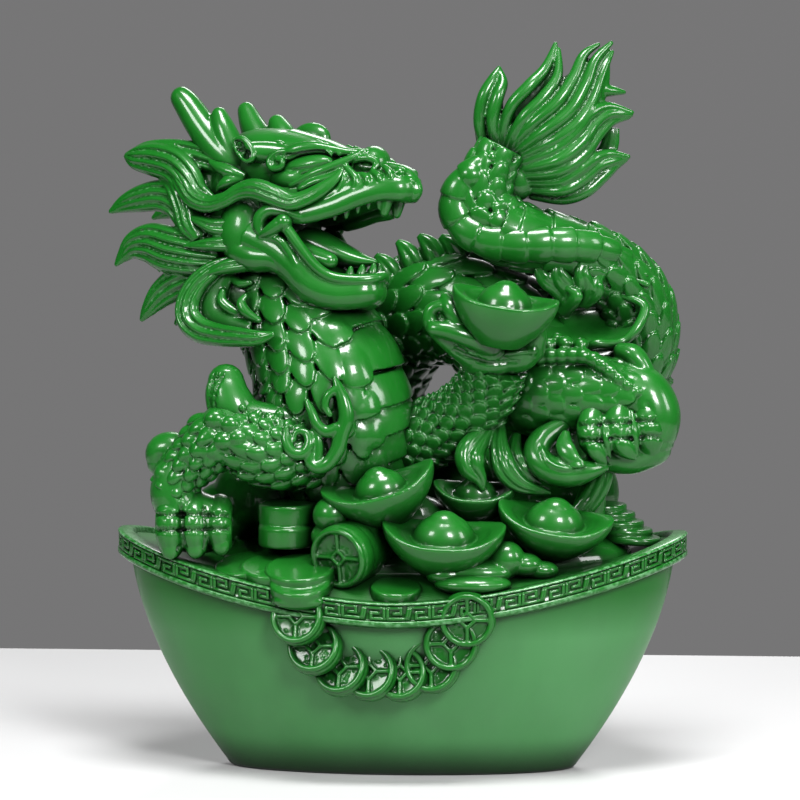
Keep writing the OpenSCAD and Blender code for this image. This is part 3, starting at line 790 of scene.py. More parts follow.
CHEST = Sweep([[-37, 5, 138, 8], [-33, 2, 125, 11], [-26, -2, 113, 15], [-19, -5, 101, 18],
               [-17, -5, 90, 19.5], [-15, -3, 78, 18], [-13, 0, 66, 13]], 0.9)
RISE = Sweep([[-13, 8, 64, 10], [-11, 18, 72, 12], [-10, 24, 84, 12], [-8, 24, 98, 12.5],
              [-2, 20, 110, 13]], 0.85)
ARCH = Sweep([[-8, 22, 103, 12.5], [-2, 20, 110, 13], [8, 16, 115, 14], [18, 14, 114, 14.5],
              [28, 14, 107, 15]], 0.9)
HAUNCH = Sweep([[28, 14, 107, 14.5], [39, 16, 99, 15], [50, 18, 96, 13.5], [57, 17, 104, 12]], 0.9)
COIL = Sweep([[50, 18, 96, 12], [56, 17, 104, 11.5], [57.5, 14, 115, 9.5], [52.5, 9, 124, 8],
              [42, 3, 130, 7.5], [30, -1, 133.5, 7.5], [24, -2, 136, 7.5]], 0.95)
TAIL = Sweep([[34, 0, 133, 7.3], [26, -1, 135, 7.8], [20.5, -1, 141, 7.6], [21, -1, 148, 6.4],
              [25, 0, 156, 5]], 0.85)
STRIP = Sweep([[22.5, -3.5, 154, 1.6], [19.5, -4, 151.5, 2.4], [16, -4, 147.5, 3.6], [13.8, -4, 142, 4.0],
               [15.5, -5, 137, 3.8], [20.5, -6, 133.6, 3.9], [28, -6, 132.4, 4.2], [36, -5, 132.4, 4.2],
               [44, -3, 132, 4.0], [50, 0.5, 130.6, 3.4], [56, 5, 128, 2.2]], 0.8)


def chest():
    clay = Clay().add(*CHEST.skin(-1.9))
    end = CHEST.length - 2
    clay.scales(CHEST, (0, end), 5.4, 6.2, (243, 477), 1.5, 1.5, 0.45, square=0.1, root=2.6, point=0.62)
    clay.belly(CHEST, (0, end), 6.6, 180, 57, 0.94, 1.0, 0.5, square=0.93, nv=25, root=2.6)
    for side in (118, 242):
        clay.belly(CHEST, (1.4, end), 6.6, side, 15, 0.98, 1.3, 1.0, square=0.62, root=2.6)
    cast("chest", "scale_resin", clay, soften=1)


def body_rise():
    clay = Clay().add(*RISE.skin(-1.4))
    clay.scales(RISE, (0, RISE.length - 2), 4.8, 5.4, (-180, 180), 1.5, 1.5, 0.45, square=0.1, root=2.2)
    cast("body_rise", "scale_resin", clay, voxel=VOXEL * 1.35, soften=1)


def body_arch():
    clay = Clay().add(*ARCH.skin(-1.4))
    clay.scales(ARCH, (0, ARCH.length - 2), 5.0, 5.8, (-180, 180), 1.5, 1.6, 0.5, square=0.1, root=2.2)
    cast("body_arch", "scale_resin", clay, soften=1)


def haunch():
    clay = Clay().add(*HAUNCH.skin(-1.4))
    clay.scales(HAUNCH, (0, HAUNCH.length), 5.0, 5.6, (-180, 180), 1.5, 1.5, 0.5, square=0.1, root=2.2)
    cast("haunch", "scale_resin", clay, soften=1)


def body_coil():
    clay = Clay().add(*COIL.skin(-1.2))
    half_way = COIL.length * 0.56
    clay.scales(COIL, (0, half_way), 5.2, 5.6, (-180, 180), 1.5, 1.5, 0.45, square=0.1, root=2)
    clay.scales(COIL, (half_way, COIL.length - 2), 5.0, 5.6, (-5, 185), 1.5, 1.2, 0.4, square=0.1, root=2)
    clay.belly(COIL, (half_way, COIL.length - 2), 8.0, -85, 80, 1.15, 0.8, 0.1, square=0.9, nv=21, root=2)
    cast("body_coil", "scale_resin", clay, soften=1)


def coil_plates():
    """The notched belly strip, the sheets that close the loop, and the flames between them."""
    clay = Clay().add(*STRIP.skin(-0.5))
    clay.belly(STRIP, (1, STRIP.length - 3), 6.0, -60, 100, 1.12, 0.8, 0.5, square=0.86, nv=21, root=1.4)
    clay.ball((22.6, -4, 153.6), 2.0, sides=20)
    clay.ball((17.5, -5.2, 149), 1, (3.6, 2.8, 3.4), sides=24)
    clay.sheet([[(47.5, 7.5, 127), (52.5, 6.5, 127.5), (57.5, 6, 127), (61.5, 7.5, 122.5)],
                [(46.5, 9, 122.5), (52.5, 9.5, 122.5), (58, 8.5, 121), (62, 8, 118.5)],
                [(45, 8, 117.5), (51.5, 8.5, 118), (56.5, 8, 117.5), (61.5, 7.5, 114.5)]], 3.0)
    clay.sheet([[(44.5, 5, 118.4), (50.5, 5.5, 119.4), (55, 6.5, 118.6), (60, 4.5, 117)],
                [(40.5, 6.5, 115), (48, 9, 115.5), (54, 9.5, 115), (60, 3.5, 114)],
                [(36.5, 4, 112), (45.5, 6.5, 111.5), (52, 7, 111), (58.4, 2.5, 110)],
                [(35, -1, 109), (43.5, 0.5, 108.2), (50.5, 0, 107.5), (55.8, 0, 107)],
                [(34, -5, 106), (42.5, -4, 104.5), (49, -2.5, 104), (53, -1.5, 104)]], 3.2)
    for route in ([(46, -3, 105.8, 0.9), (48.5, -3.7, 107.3, 1.3), (52, -2.8, 107.2, 1.2),
                   (55.4, -1.4, 107.8, 1.2), (58.4, -0.6, 110.6, 1.3), (60.4, 1.2, 114.5, 1.3),
                   (60, 2.2, 116.8, 1.2), (55.4, 3.6, 118.6, 1.0), (48, 3.5, 119.8, 0.7)],
                  [(48.5, 5, 123, 0.7), (55, 4.6, 123.2, 0.9), (61, 4, 121.6, 0.9)],
                  [(51.5, 5, 126, 0.6), (57, 4.6, 125.6, 0.8), (60.6, 4.6, 124, 0.8)]):
        clay.tube(route, 1, 14)
    for route, ridges in (([(43, 2, 116, 2.6), (39, -1.4, 120.6, 2.4), (35.5, -3.6, 123.6, 2.0),
                            (33.2, -3.2, 127.6, 0.5)], 2),
                          ([(43, 2, 117, 2.6), (41, -2, 121.6, 2.6), (39, -3.4, 125, 2.1),
                            (39.8, -2.4, 129, 0.6)], 2),
                          ([(44, 2, 117, 2.6), (45.6, -2, 121.6, 2.4), (45, -3, 125.4, 2.0),
                            (46.6, -1.4, 129, 0.6)], 2),
                          ([(45, 2, 117, 2.2), (48.4, -1.4, 120, 2.0), (48.6, -1.6, 122.8, 1.7),
                            (51.2, 0.6, 125.4, 0.5)], 2),
                          ([(40, 2, 114.5, 2.0), (43, -2.6, 118, 1.8), (43.6, -3.4, 119.6, 1.4),
                            (40.4, -3, 121.4, 0.5)], 1)):
        clay.lock(route, 0.6, ridges, 0.35, steps=12)
    cast("coil_plates", "scale_resin", clay, soften=1)


def tail():
    clay = Clay().add(*TAIL.skin(-1.2))
    clay.scales(TAIL, (0, TAIL.length - 1), 3.9, 5.4, (-180, 180), 1.4, 1.1, 0.55, jitter=0.01, square=0.12,
                root=1.8)
    cast("tail", "scale_resin", clay, soften=1)


def dorsal_spikes():
    clay = Clay()
    for x, y, z, high in ((-9, 14, 119, 4.2), (-4.5, 12, 123, 5.0), (1, 11, 126, 5.6), (6.5, 10, 128, 5.2),
                          (12, 10, 128.6, 4.4)):
        clay.lock([(x + 2.4, y + 1, z - 4, 3.4), (x + 1.2, y - 0.4, z, 3.3),
                   (x - 0.8, y - 1, z + high * 0.6, 2.4), (x - 3, y - 1, z + high, 0.8)], 0.75, 2, 0.3,
                   steps=10)
    cast("dorsal_spikes", "scale_resin", clay)


# strands of the tail flame: listed routes, half width about 1.7 mm in the middle
FLAME_STRANDS = [
    [(21, 2, 154), (19.3, 1, 161.5), (20.2, 0.5, 168), (22.4, 1.5, 172.5), (24, 2.5, 175.4)],
    [(23.5, 1, 154), (22.6, -0.8, 162.5), (23.8, -0.8, 168.2), (25, 1, 171.8), (24.2, 2.5, 175)],
    [(24.5, 0.5, 156), (27, -1.4, 165.5), (31.6, -1, 171), (35.6, 1.5, 175.5), (38, 3.2, 181.4)],
    [(26, 0, 155), (30, -2.4, 162.8), (35, -1.6, 168), (38.6, 0.5, 173.4), (38.8, 3, 180)],
    [(27, 0, 155), (32.5, -3, 161.6), (38.6, -2.6, 167), (42.6, -0.2, 173), (45, 2, 178.6), (48.6, 4, 181.2)],
    [(27.6, 0, 154), (35, -3.8, 159.6), (41.8, -3, 165), (45.6, -1, 171.4), (48, 1.5, 177.6),
     (51.8, 4.2, 181.6)],
    [(28.4, 0, 153), (36.5, -3.2, 157), (43.5, -2.8, 161.8), (47.2, -0.5, 167.4), (49.4, 1.5, 173.4),
     (52, 4.4, 179.4)],
    [(46.5, 2, 166), (48.6, 2, 169.6), (51.5, 3, 169.8), (55, 4.4, 169.4)],
    [(29, 0, 151.6), (37.5, -3.2, 155), (43, -2.8, 159.4), (46.4, -1.6, 164), (51, 1.5, 166), (57, 4, 164.4)],
    [(29.5, 0, 150.2), (38.5, -4, 152.6), (44.5, -2.8, 157), (47.8, -0.5, 161.6), (51.6, 1.5, 164.2),
     (56.8, 4, 163.8)],
    [(30, 0, 148.6), (39, -3.2, 150), (45, -1.8, 154), (48.5, 0.5, 158.8), (52, 2.5, 162.2),
     (56.2, 4, 163.2)],
    [(30.5, 0.5, 147), (39, -2.2, 147.4), (43.8, -1.8, 150.2), (47.4, -0.4, 153), (51, 2.2, 154.2),
     (56.2, 4, 153.4)],
    [(31.5, 1, 145.2), (39.5, -2, 145.2), (44.6, -0.8, 147.8), (48.6, 0.8, 151.2), (52.4, 3, 152.4),
     (55.8, 4, 153)],
    [(32.4, 2, 143.6), (40, 0.6, 143), (45.5, 1, 144.8), (49.6, 2.5, 148.2), (52.8, 3.8, 151),
     (55.6, 4, 152.6)],
]
# flat lobes behind the strands, with half widths
FLAME_LOBES = [
    [(23, 3, 153, 4), (21.6, 2.6, 162, 3.8), (22.4, 2.6, 168, 2.8), (24, 3, 174, 0.6)],
    [(26, 3, 152, 4.5), (31, 2, 163, 5.4), (36, 2.4, 171, 3.6), (38.4, 3.4, 179.5, 0.6)],
    [(28, 3, 152, 5), (38, 1.6, 162, 7.2), (46, 2, 171, 5.6), (50.6, 4, 180, 1.0)],
    [(28, 3, 151, 5), (40, 1.6, 156, 6.4), (47.5, 2, 162.4, 4.6), (55.6, 4, 164, 0.6)],
    [(30, 3, 148, 5), (40, 2, 147.6, 5.2), (47, 2.4, 150, 4.0), (55, 4, 153, 0.6)],
    [(46, 4, 150, 2), (51, 4.4, 155, 2.4), (52, 4.6, 160.6, 2.0)],
]


def tail_flame():
    clay = Clay()
    clay.ball((28.5, 1, 147.5), 1, (4.8, 2.8, 5.2), sides=24)
    for lobe in FLAME_LOBES:
        clay.lock(lobe, 0.42, 3, 0.2, steps=14)
    for strand in FLAME_STRANDS:
        share = np.linspace(0, 1, len(strand))
        width = 0.35 + 1.35 * np.sin(math.pi * np.clip(share * 0.8 + 0.16, 0, 1)) ** 0.8
        clay.tube([(*p, w) for p, w in zip(strand, width)], 1, 14, 12)
    cast("tail_flame", "hair_resin", clay, voxel=VOXEL * 0.9, soften=1)


# ---------------------------------------------------------------- head

HEAD = turn(-8, -4, -26, (-25.5, -2, 145))
MIRROR = Matrix.Scale(-1, 4, (0, 1, 0))
BOTH = (None, MIRROR)                    # near side as drawn, far side mirrored
SIDES = {"near": HEAD, "far": HEAD @ MIRROR}


def head_upper():
    clay = Clay(HEAD)
    clay.tube([(-19, 0, 5, 8.5), (-12, 0, 5.5, 10.3), (-3, 0, 5, 10.3), (6, 0, 4.5, 8.3), (13, 0, 3.5, 6.8),
               (20, 0, 2, 5.5), (27, 0, 1, 4.6), (30.2, 0, 0.4, 3.6)], 1.0, 48)
    clay.ball((-10, 0, -6), 1, (10, 10.5, 12), sides=40)
    clay.ball((21.5, 0, 6), 1, (4.2, 4.6, 4.3), sides=32)
    clay.tube([(18, 0, 6, 2.2), (9, 0, 9.6, 2.6), (-2, 0, 12.6, 3.0)], 1.6)
    for side in BOTH:
        upper_jaw(clay, side)
        brow(clay, side)
        muzzle_folds(clay, side)
    clay.ball((-0.6, 6.4, 13.4), 1, (5.6, 2.6, 4.2), sides=28)
    clay.tube([(10, 6.6, -8.4, 1.8), (14, 5.8, -7.6, 2.0), (19, 5.2, -6.2, 2.2), (24, 4.2, -5.6, 2.2),
               (26.5, 3.4, -4.0, 1.8)], 0.8)
    cast("head_upper", "skin_resin", clay, voxel=VOXEL * 0.82, soften=2)


def upper_jaw(clay, side):
    clay.tube([(-1, -7.5, -3.5, 5.2), (8, -6.6, -3.6, 4.6), (16, -5.2, -2, 4.2), (24, -3.4, -0.2, 4),
               (29.5, -2, -0.3, 3.6)], 1, 28, matrix=side)
    clay.tube([(-1, -11, -6.4, 1.7), (4, -10.9, -7.0, 2.2), (8, -10.2, -6.9, 2.5), (14.5, -8.8, -5.2, 2.7),
               (20.5, -7.1, -2.7, 2.9), (26.5, -5.4, -1, 3.0), (31, -3.2, -0.9, 3.2), (32.2, 0, -1, 3.3)],
              0.62, 28, matrix=side)
    clay.tube([(7, -11.4, -7.7, 1.0), (3, -12, -6.4, 1.4), (-1, -12.5, -5.9, 1.7), (-3.4, -12.7, -7.6, 1.8),
               (-3.8, -12.7, -9.8, 1.6), (-3, -12.8, -11.8, 1.0)], 0.9, matrix=side)
    clay.ball((30.6, -3.0, 3.0), 1.7, (1, 0.9, 0.9), side, 20)
    clay.ball((33.0, -1.3, 0.9), 1.25, matrix=side, sides=18)
    clay.tube([(27, -1.6, 4.4, 1.6), (31, -0.8, 3.2, 1.5), (33.2, 0, 1.0, 1.3)], matrix=side)


def brow(clay, side):
    clay.tube([(2.5, -9.6, 8, 1.7), (5, -9.5, 9.2, 1.7), (9, -8.4, 9.7, 1.6), (13, -7.0, 9.2, 1.3),
               (17, -5.4, 8.4, 1.1), (21, -3.6, 8.6, 0.8)], 1, matrix=side)
    clay.tube([(4, -10.2, 8.8, 0.7), (0.5, -10.9, 8.6, 0.8), (-1.9, -11.2, 6.6, 0.9), (-0.9, -11.6, 4.5, 0.9),
               (1.7, -11.7, 4.7, 0.8), (2.2, -11.7, 6.4, 0.7), (0.6, -11.7, 6.7, 0.6)], 1, 12, matrix=side)
    clay.ball((0.2, -10.4, 6.4), 1, (2.2, 1.2, 2.0), side, 18)
    clay.tube([(9.5, -7.6, 11.0, 0.8), (12.0, -7.6, 9.6, 0.9), (13.6, -7.9, 7.6, 0.7)], matrix=side)
    clay.tube([(12.2, -6.4, 10.6, 0.7), (14.4, -6.6, 9.4, 0.8), (15.6, -6.8, 7.8, 0.6)], matrix=side)
    clay.ball((-1.5, -7.9, 10.6), 1, (2.0, 1.0, 1.3), side, 18)
    clay.stroke([(3, -10.6, 7.8), (6, -10, 7.9), (10, -9.2, 8.0), (13.5, -8.2, 7.2)], 0.8, 0.9, side)


def muzzle_folds(clay, side):
    """Creases under the eye, and the short upright folds that end over the lip."""
    for route in ([(4, -10.4, 0.2, 0.9), (9.5, -9.7, 2.8, 1.2), (13.5, -8.6, 4.4, 1.2), (18, -6.8, 6.4, 1.0),
                   (20.5, -5.4, 7.8, 0.7)],
                  [(7, -10.8, -0.8, 0.9), (10.5, -9.9, 0.9, 1.1), (14, -8.8, 1.8, 1.1),
                   (16.8, -7.8, 3.4, 0.8)],
                  [(15.2, -7.6, 4.4, 0.8), (17.8, -7.9, 1.8, 1.1), (16.4, -8.4, -1.6, 1.0)],
                  [(17.6, -7.2, 4.8, 0.8), (20.8, -7.4, 1.6, 1.1), (20.4, -7.6, -0.9, 1.0)],
                  [(21.5, -6.4, 3.0, 0.8), (23.8, -6.9, 1.4, 1.1), (23.6, -7.0, -0.2, 1.0)],
                  [(24.6, -5.8, 3.2, 0.8), (26.6, -6.2, 2.0, 1.0), (26.8, -6.2, 0.7, 0.9)],
                  [(27.4, -4.6, 4.4, 0.8), (29.0, -4.9, 2.9, 1.0), (29.4, -5.0, 1.8, 0.9)],
                  [(11, -9.6, -3.6, 0.8), (13.6, -9.2, -2.9, 1.0), (15.8, -8.6, -1.8, 0.9)]):
        clay.tube(route, 1, 14, matrix=side)
    clay.tube([(18.6, -5.0, 4.6, 0.8), (19.6, -5.3, 6.4, 1.0), (22.6, -4.8, 6.8, 1.1), (24.8, -4.2, 5.4, 1.0),
               (23.8, -5.2, 3.4, 0.9), (20.8, -5.8, 3.0, 0.9), (18.8, -5.4, 4.2, 0.8)], 1, 14, matrix=side)
    clay.stroke([(20.2, -6.2, 4.7), (22.8, -5.8, 4.8)], 1.35, 2.2, side)


def lower_jaw():
    clay = Clay(HEAD)
    clay.ball((-3, 0, -9), 1, (8, 9, 8), sides=32)
    clay.tube([(-6, 0, -13, 8), (4, 0, -20, 6.4), (14, 0, -25.6, 4.4), (20.5, 0, -25.6, 3.6)], 1.05, 40)
    for side in BOTH:
        clay.tube([(-8, -8, -12, 6), (-1, -7.8, -15.5, 5.2), (4, -7.2, -19.5, 5.0), (8.5, -6, -24.2, 5.0),
                   (14, -4.4, -26.2, 4.4), (19.5, -2.2, -26, 4.0), (21, 0, -25.6, 3.8)], 1, 28, matrix=side)
        clay.tube([(3.4, -12, -10, 1.4), (7.3, -11.2, -15.3, 1.4), (10.8, -9.9, -19.8, 1.4),
                   (14, -8.4, -22.3, 1.4), (17.5, -6.7, -23.1, 1.4), (21.5, -4.4, -23.2, 1.4),
                   (23.9, -2, -22.6, 1.3), (24.4, 0, -22, 1.2)],
                  1, matrix=side)
        clay.tube([(-3.5, -12.2, -12.5, 0.8), (1.5, -12.2, -13.2, 1.1), (4.5, -11.4, -16.7, 1.2),
                   (6.4, -10.5, -20.6, 1.2), (9, -9.4, -24, 1.2), (12.5, -8, -25.7, 1.1),
                   (17.5, -6, -26.1, 1.1), (21.5, -3, -25.6, 1.0)], 1, 14, matrix=side)
        clay.tube([(-10.5, -9.6, -14, 3.6), (-6.5, -10, -16, 3.2), (-1, -9.9, -16.4, 2.8),
                   (2.8, -9.2, -18.8, 2.8), (5, -8.2, -22.4, 2.8), (7.4, -7.4, -26, 2.8)], 1, matrix=side)
        clay.tube([(-3.4, -12.8, -12.2, 0.8), (-0.8, -13.1, -11.2, 1.5), (2.2, -12.8, -9.4, 1.9)], 1,
                  matrix=side)
        clay.ball((3.2, -12.5, -8.9), 2.15, matrix=side, sides=24)
    cast("lower_jaw", "skin_resin", clay, voxel=VOXEL * 0.82, soften=2)


def tongue():
    clay = Clay(HEAD)
    clay.tube([(-3, -0.5, -13, 4.4), (5, -1, -13.4, 3.8), (12, -1, -16, 3.1), (18, -1, -18, 2.1),
               (23, -1, -18.6, 0.5)],
              1.5, 32)
    clay.tube([(-2, -2.5, -9.6, 1.0), (5, -2.8, -10.8, 1.0), (12, -2.4, -14, 1.0), (18, -1.8, -16.8, 0.8),
               (22.6, -1, -18.2, 0.4)], 1, 12)
    cast("tongue", "skin_resin", clay, soften=2)


def spike(clay, root, tip, radius, matrix=None, blunt=0.2):
    """A tooth, claw or thorn that narrows from its root to its tip."""
    root, tip = np.array(root, float), np.array(tip, float)
    line = [(*(root + (tip - root) * t), radius * (1 - (1 - blunt) * t ** 1.5)) for t in (0, 0.35, 0.7, 1)]
    clay.tube(line, 1, 14, 4, matrix)


def teeth():
    clay = Clay(HEAD)
    for side in BOTH:
        for f, l, u, high, radius in ((14.5, -6.6, -5.6, 2.6, 1.1), (17.4, -6.0, -4.8, 3.0, 1.2),
                                      (20.4, -5.4, -3.8, 2.8, 1.1), (23.2, -4.9, -2.8, 2.8, 1.1),
                                      (25.8, -4.2, -2.4, 3.2, 1.2)):
            spike(clay, (f, l, u), (f - 0.4, l + 0.3, u - high), radius, side, 0.4)
        spike(clay, (27.0, -3.0, -2.5), (26.4, -3.0, -6.6), 1.9, side, 0.6)
        spike(clay, (5, -6.8, -16.4), (13.4, -7.2, -18.6), 3.2, side, 0.68)
        for f, l, u in ((17.5, -4.6, -22.5), (20, -3.2, -22), (22.2, -1.4, -21.6)):
            spike(clay, (f, l, u), (f + 0.4, l, u + 2.2), 1.3, side, 0.5)
    cast("teeth", "skin_resin", clay, voxel=VOXEL * 0.82, soften=1)


def eyes():
    clay = Clay(HEAD)
    for side in BOTH:
        clay.ball((0, 0, 0), 1, (7.2, 2.7, 2.7), (side or Matrix()) @ turn(0, -9, 5, (7.4, -8.4, 5.0)), 32)
        clay.ball((2.6, -8.9, 2.2), 1, (5.4, 2.6, 3.6), side, 32)
        clay.stroke([(1.0, -11.4, 4.4), (5.5, -11.1, 4.0), (10, -10.2, 4.6), (13.5, -9, 5.6)], 0.6, 0.35,
                    side)
    cast("eyes", "skin_resin", clay, soften=3)


def cheek_pads():
    clay = Clay(HEAD)
    for side in BOTH:
        clay.ball((-10.8, -9.2, -10.6), 1, (6.4, 5.0, 8.6), side, 48)
        clay.tube([(-11, -9.4, -15, 4.2), (-6.5, -9.8, -17, 4.0), (-1.5, -9.4, -17.6, 3.4),
                   (2.5, -8.8, -20, 2.8)], 1, 28,
                  matrix=side)
    cast("cheek_pads", "skin_resin", clay, soften=9)


def horn_near():
    clay = Clay(HEAD)
    clay.tube([(-12, -6.5, 3, 4.0), (-15.5, -7.8, 7.5, 4.4), (-19.6, -8.4, 11.6, 4.3), (-23.6, -9, 16.6, 3.9),
               (-27.0, -9.6, 21.4, 3.4), (-28.6, -10, 23.4, 3.0)], 1, 28)
    clay.tube([(-13, -7.8, 6.5, 3.6), (-15.2, -8.6, 11.5, 3.4), (-16.9, -9, 15.6, 2.9),
               (-18.1, -9, 18.8, 2.1)], 1, 24)
    cast("horn_near", "skin_resin", clay, soften=6)


def horn_far():
    clay = Clay(HEAD)
    clay.tube([(-14, 6.5, 9, 4.2), (-16.6, 7.4, 14, 3.9), (-19.4, 8.2, 18.4, 3.1), (-21.2, 8.8, 21.6, 2.4)],
              1, 24)
    clay.tube([(-7, 6.5, 10, 4.0), (-9.4, 7.2, 14.6, 3.5), (-11.4, 7.8, 17.8, 2.5)], 1, 24)
    cast("horn_far", "skin_resin", clay, soften=6)


def ears():
    for side, matrix in SIDES.items():
        clay = Clay(matrix)
        clay.tube([(0, -6.8, 8, 3.0), (-3.5, -8.7, 8.6, 3.0), (-6.6, -10.6, 9.0, 2.6),
                   (-8.2, -11.6, 9.3, 2.2)], 1, 28)
        clay.tube([(-11.2, -12.4, 11.8, 0.75), (-9.0, -12.6, 12.2, 0.8), (-6.4, -12.6, 9.8, 0.8),
                   (-5.8, -12.8, 7.2, 0.8), (-7.6, -12.9, 6.6, 0.75), (-9.8, -12.8, 8.6, 0.75),
                   (-11.4, -12.5, 11.2, 0.75)], 1, 14)
        clay.ball((-8.5, -11.8, 9.3), 1, (1.8, 1.2, 3.0), sides=20)
        clay.stroke([(-10.1, -13.4, 10.9), (-8.6, -13.4, 9.4), (-7.1, -13.4, 7.9)], 1.25, 2.0)
        cast(f"ear_{side}", "skin_resin", clay, voxel=VOXEL * 0.8)


def moustaches():
    for side, matrix in SIDES.items():
        clay = Clay(matrix)
        clay.lock([(17.6, -8.4, 4.2, 0.5), (16, -9.3, 1.6, 1.3), (12.5, -10.8, -1.3, 1.9),
                   (8.5, -12.2, -3.4, 2.1), (5, -13, -4, 2.3), (1, -13.6, -2.4, 2.7),
                   (-4.5, -14, -0.6, 2.7), (-9, -14.2, -1.2, 2.2), (-13, -14.2, -3, 2.0),
                   (-18, -14, -3.8, 2.3), (-22.5, -13.8, -2, 2.8), (-25.5, -13.3, 1.6, 3.0),
                   (-28.5, -12.8, 5, 2.2), (-32, -12.4, 7, 0.5)], 0.62, 4, 0.42, steps=14)
        cast(f"moustache_{side}", "hair_resin", clay, voxel=VOXEL * 0.85, soften=1)


# each lock: route with half width, relative thickness, number of ridges
TUFTS = [
    ([(-17, -12.6, -3.5, 1.6), (-22, -12.8, -1.0, 3.6), (-25.5, -12.6, 3.2, 4.4), (-30, -12, 6.6, 4.6),
      (-36, -11.6, 8.2, 4.3), (-41.5, -11.3, 8.8, 3.0), (-44.8, -11, 9.6, 0.7)], 0.55, 4),
    ([(-14, -9.5, 6, 3.5), (-22, -10, 8.4, 3.6), (-30, -10.4, 10.4, 2.8), (-38, -10.6, 11.2, 1.9),
      (-43, -10.8, 10.6, 0.5)], 0.6, 3),
    ([(-21, -10.8, -12, 2.8), (-25.5, -11.2, -7.2, 3.8), (-29, -11, -2.8, 4.3), (-34, -10.8, -1.0, 4.1),
      (-40, -10.4, -1.4, 3.6), (-45.5, -10, -2.6, 2.4), (-50, -10, -4.6, 0.5)], 0.55, 4),
    ([(-33, -11.8, 3, 1.0), (-29, -12.4, 1, 2.6), (-26.3, -12.7, -4, 2.8), (-24.8, -12.7, -9, 2.5),
      (-22, -12.4, -12.5, 1.2)], 0.6, 3),
    ([(-17, -9.8, -17, 4.4), (-24, -10.6, -16, 5.6), (-31, -11, -14.6, 6.0), (-37, -10.8, -12.8, 5.2),
      (-42, -10.4, -13.2, 3.8), (-45.5, -10, -15.6, 2.0), (-47.9, -10, -18.2, 0.5)], 0.5, 5),
    ([(-22, -8.6, -21, 3.4), (-29, -9, -22.6, 4.4), (-34.6, -8.8, -25.4, 3.8), (-38.8, -8.4, -29.2, 2.2),
      (-41.4, -8, -32.2, 0.5)], 0.55, 4),
    ([(-8.6, -11.6, 2.8, 1.0), (-12.5, -12.2, 4.0, 1.8), (-16, -12.4, 5.4, 1.5), (-19.2, -12, 6.8, 0.4)],
     0.7, 1),
    ([(-9, -11.6, 2.2, 0.9), (-12.6, -12.4, 1.7, 1.8), (-15, -12.6, 0.7, 1.3), (-16.8, -12.2, -0.8, 0.4)],
     0.7, 1),
]


def manes():
    for side, matrix in SIDES.items():
        clay = Clay(matrix)
        clay.ball((-22, -4, -2), 1, (12, 7, 12), sides=36)
        clay.ball((-24, -4, -16), 1, (12, 6.5, 10), sides=36)
        clay.ball((-15, -6.5, 1), 1, (7, 5, 7), sides=30)
        clay.ball((-17, -6.5, -9), 1, (8, 5, 9), sides=30)
        for route, thick, ridges in TUFTS:
            clay.lock(route, thick, ridges, 0.62, steps=14)
        cast(f"mane_{side}", "hair_resin", clay, voxel=VOXEL * 0.95, soften=1)


def beard():
    clay = Clay(HEAD)
    for side in BOTH:
        for route in ([(-12, -11, -9.6, 3.0), (-17, -12.4, -9.4, 2.3), (-21.5, -13, -7.8, 1.3),
                       (-25.8, -13, -6.3, 0.4)],
                      [(-11, -11, -13.8, 2.4), (-17, -12.4, -13.8, 1.9), (-21.5, -13, -13.9, 1.2),
                       (-25.8, -13, -14, 0.4)],
                      [(-8, -10.6, -18.6, 2.2), (-13.5, -11.8, -19.4, 2.0), (-17.5, -12.4, -20.5, 1.3),
                       (-21.8, -12.6, -21.8, 0.4)]):
            clay.lock(route, 0.8, 2, 0.4, side, 12)
    cast("beard", "hair_resin", clay, voxel=VOXEL * 0.85, soften=1)


def collars():
    for side, matrix in SIDES.items():
        clay = Clay(matrix)
        clay.lock([(-12, -10.8, -17.5, 1.2), (-17.5, -11.8, -20, 2.4), (-22, -12.4, -23.6, 3.0),
                   (-24.3, -12.8, -28, 3.4), (-24, -13, -32, 3.6), (-20.5, -13.4, -35, 3.4),
                   (-15.5, -13.8, -36.4, 3.0), (-9, -14, -37.2, 2.6), (-3, -14, -37.6, 2.0),
                   (1.5, -13.6, -36.6, 0.7)], 0.6, 3, 0.66, steps=14)
        clay.lock([(-12, -8.6, -18.6, 1.5), (-16.6, -9.2, -21.6, 3.4), (-19.4, -9.4, -26.6, 4.4),
                   (-18.4, -9.8, -31.4, 4.2), (-13.6, -10.6, -34, 3.2), (-7, -11, -35.4, 2.0)], 0.4, 1,
                   0.05, steps=14)
        clay.ball((-15, -5.0, -27), 1, (9, 3.4, 8.5), sides=36)
        for route in ([(-9, -9.6, -32, 0.9), (-12.4, -10.8, -30.4, 1.4), (-15.2, -11.2, -28, 1.4),
                       (-15.2, -11, -25.6, 0.9)],
                      [(-5, -10.4, -33, 0.9), (-8, -11.4, -31, 1.4), (-9.4, -11.6, -28.6, 1.3),
                       (-8.4, -11.2, -26.8, 0.7)],
                      [(-14, -8.6, -22, 1.0), (-11, -9.6, -23.6, 1.2), (-8, -9.8, -23.4, 0.8)]):
            clay.tube(route, 1, 16)
        cast(f"collar_{side}", "hair_resin", clay, voxel=VOXEL * 0.9, soften=1)


# ---------------------------------------------------------------- legs

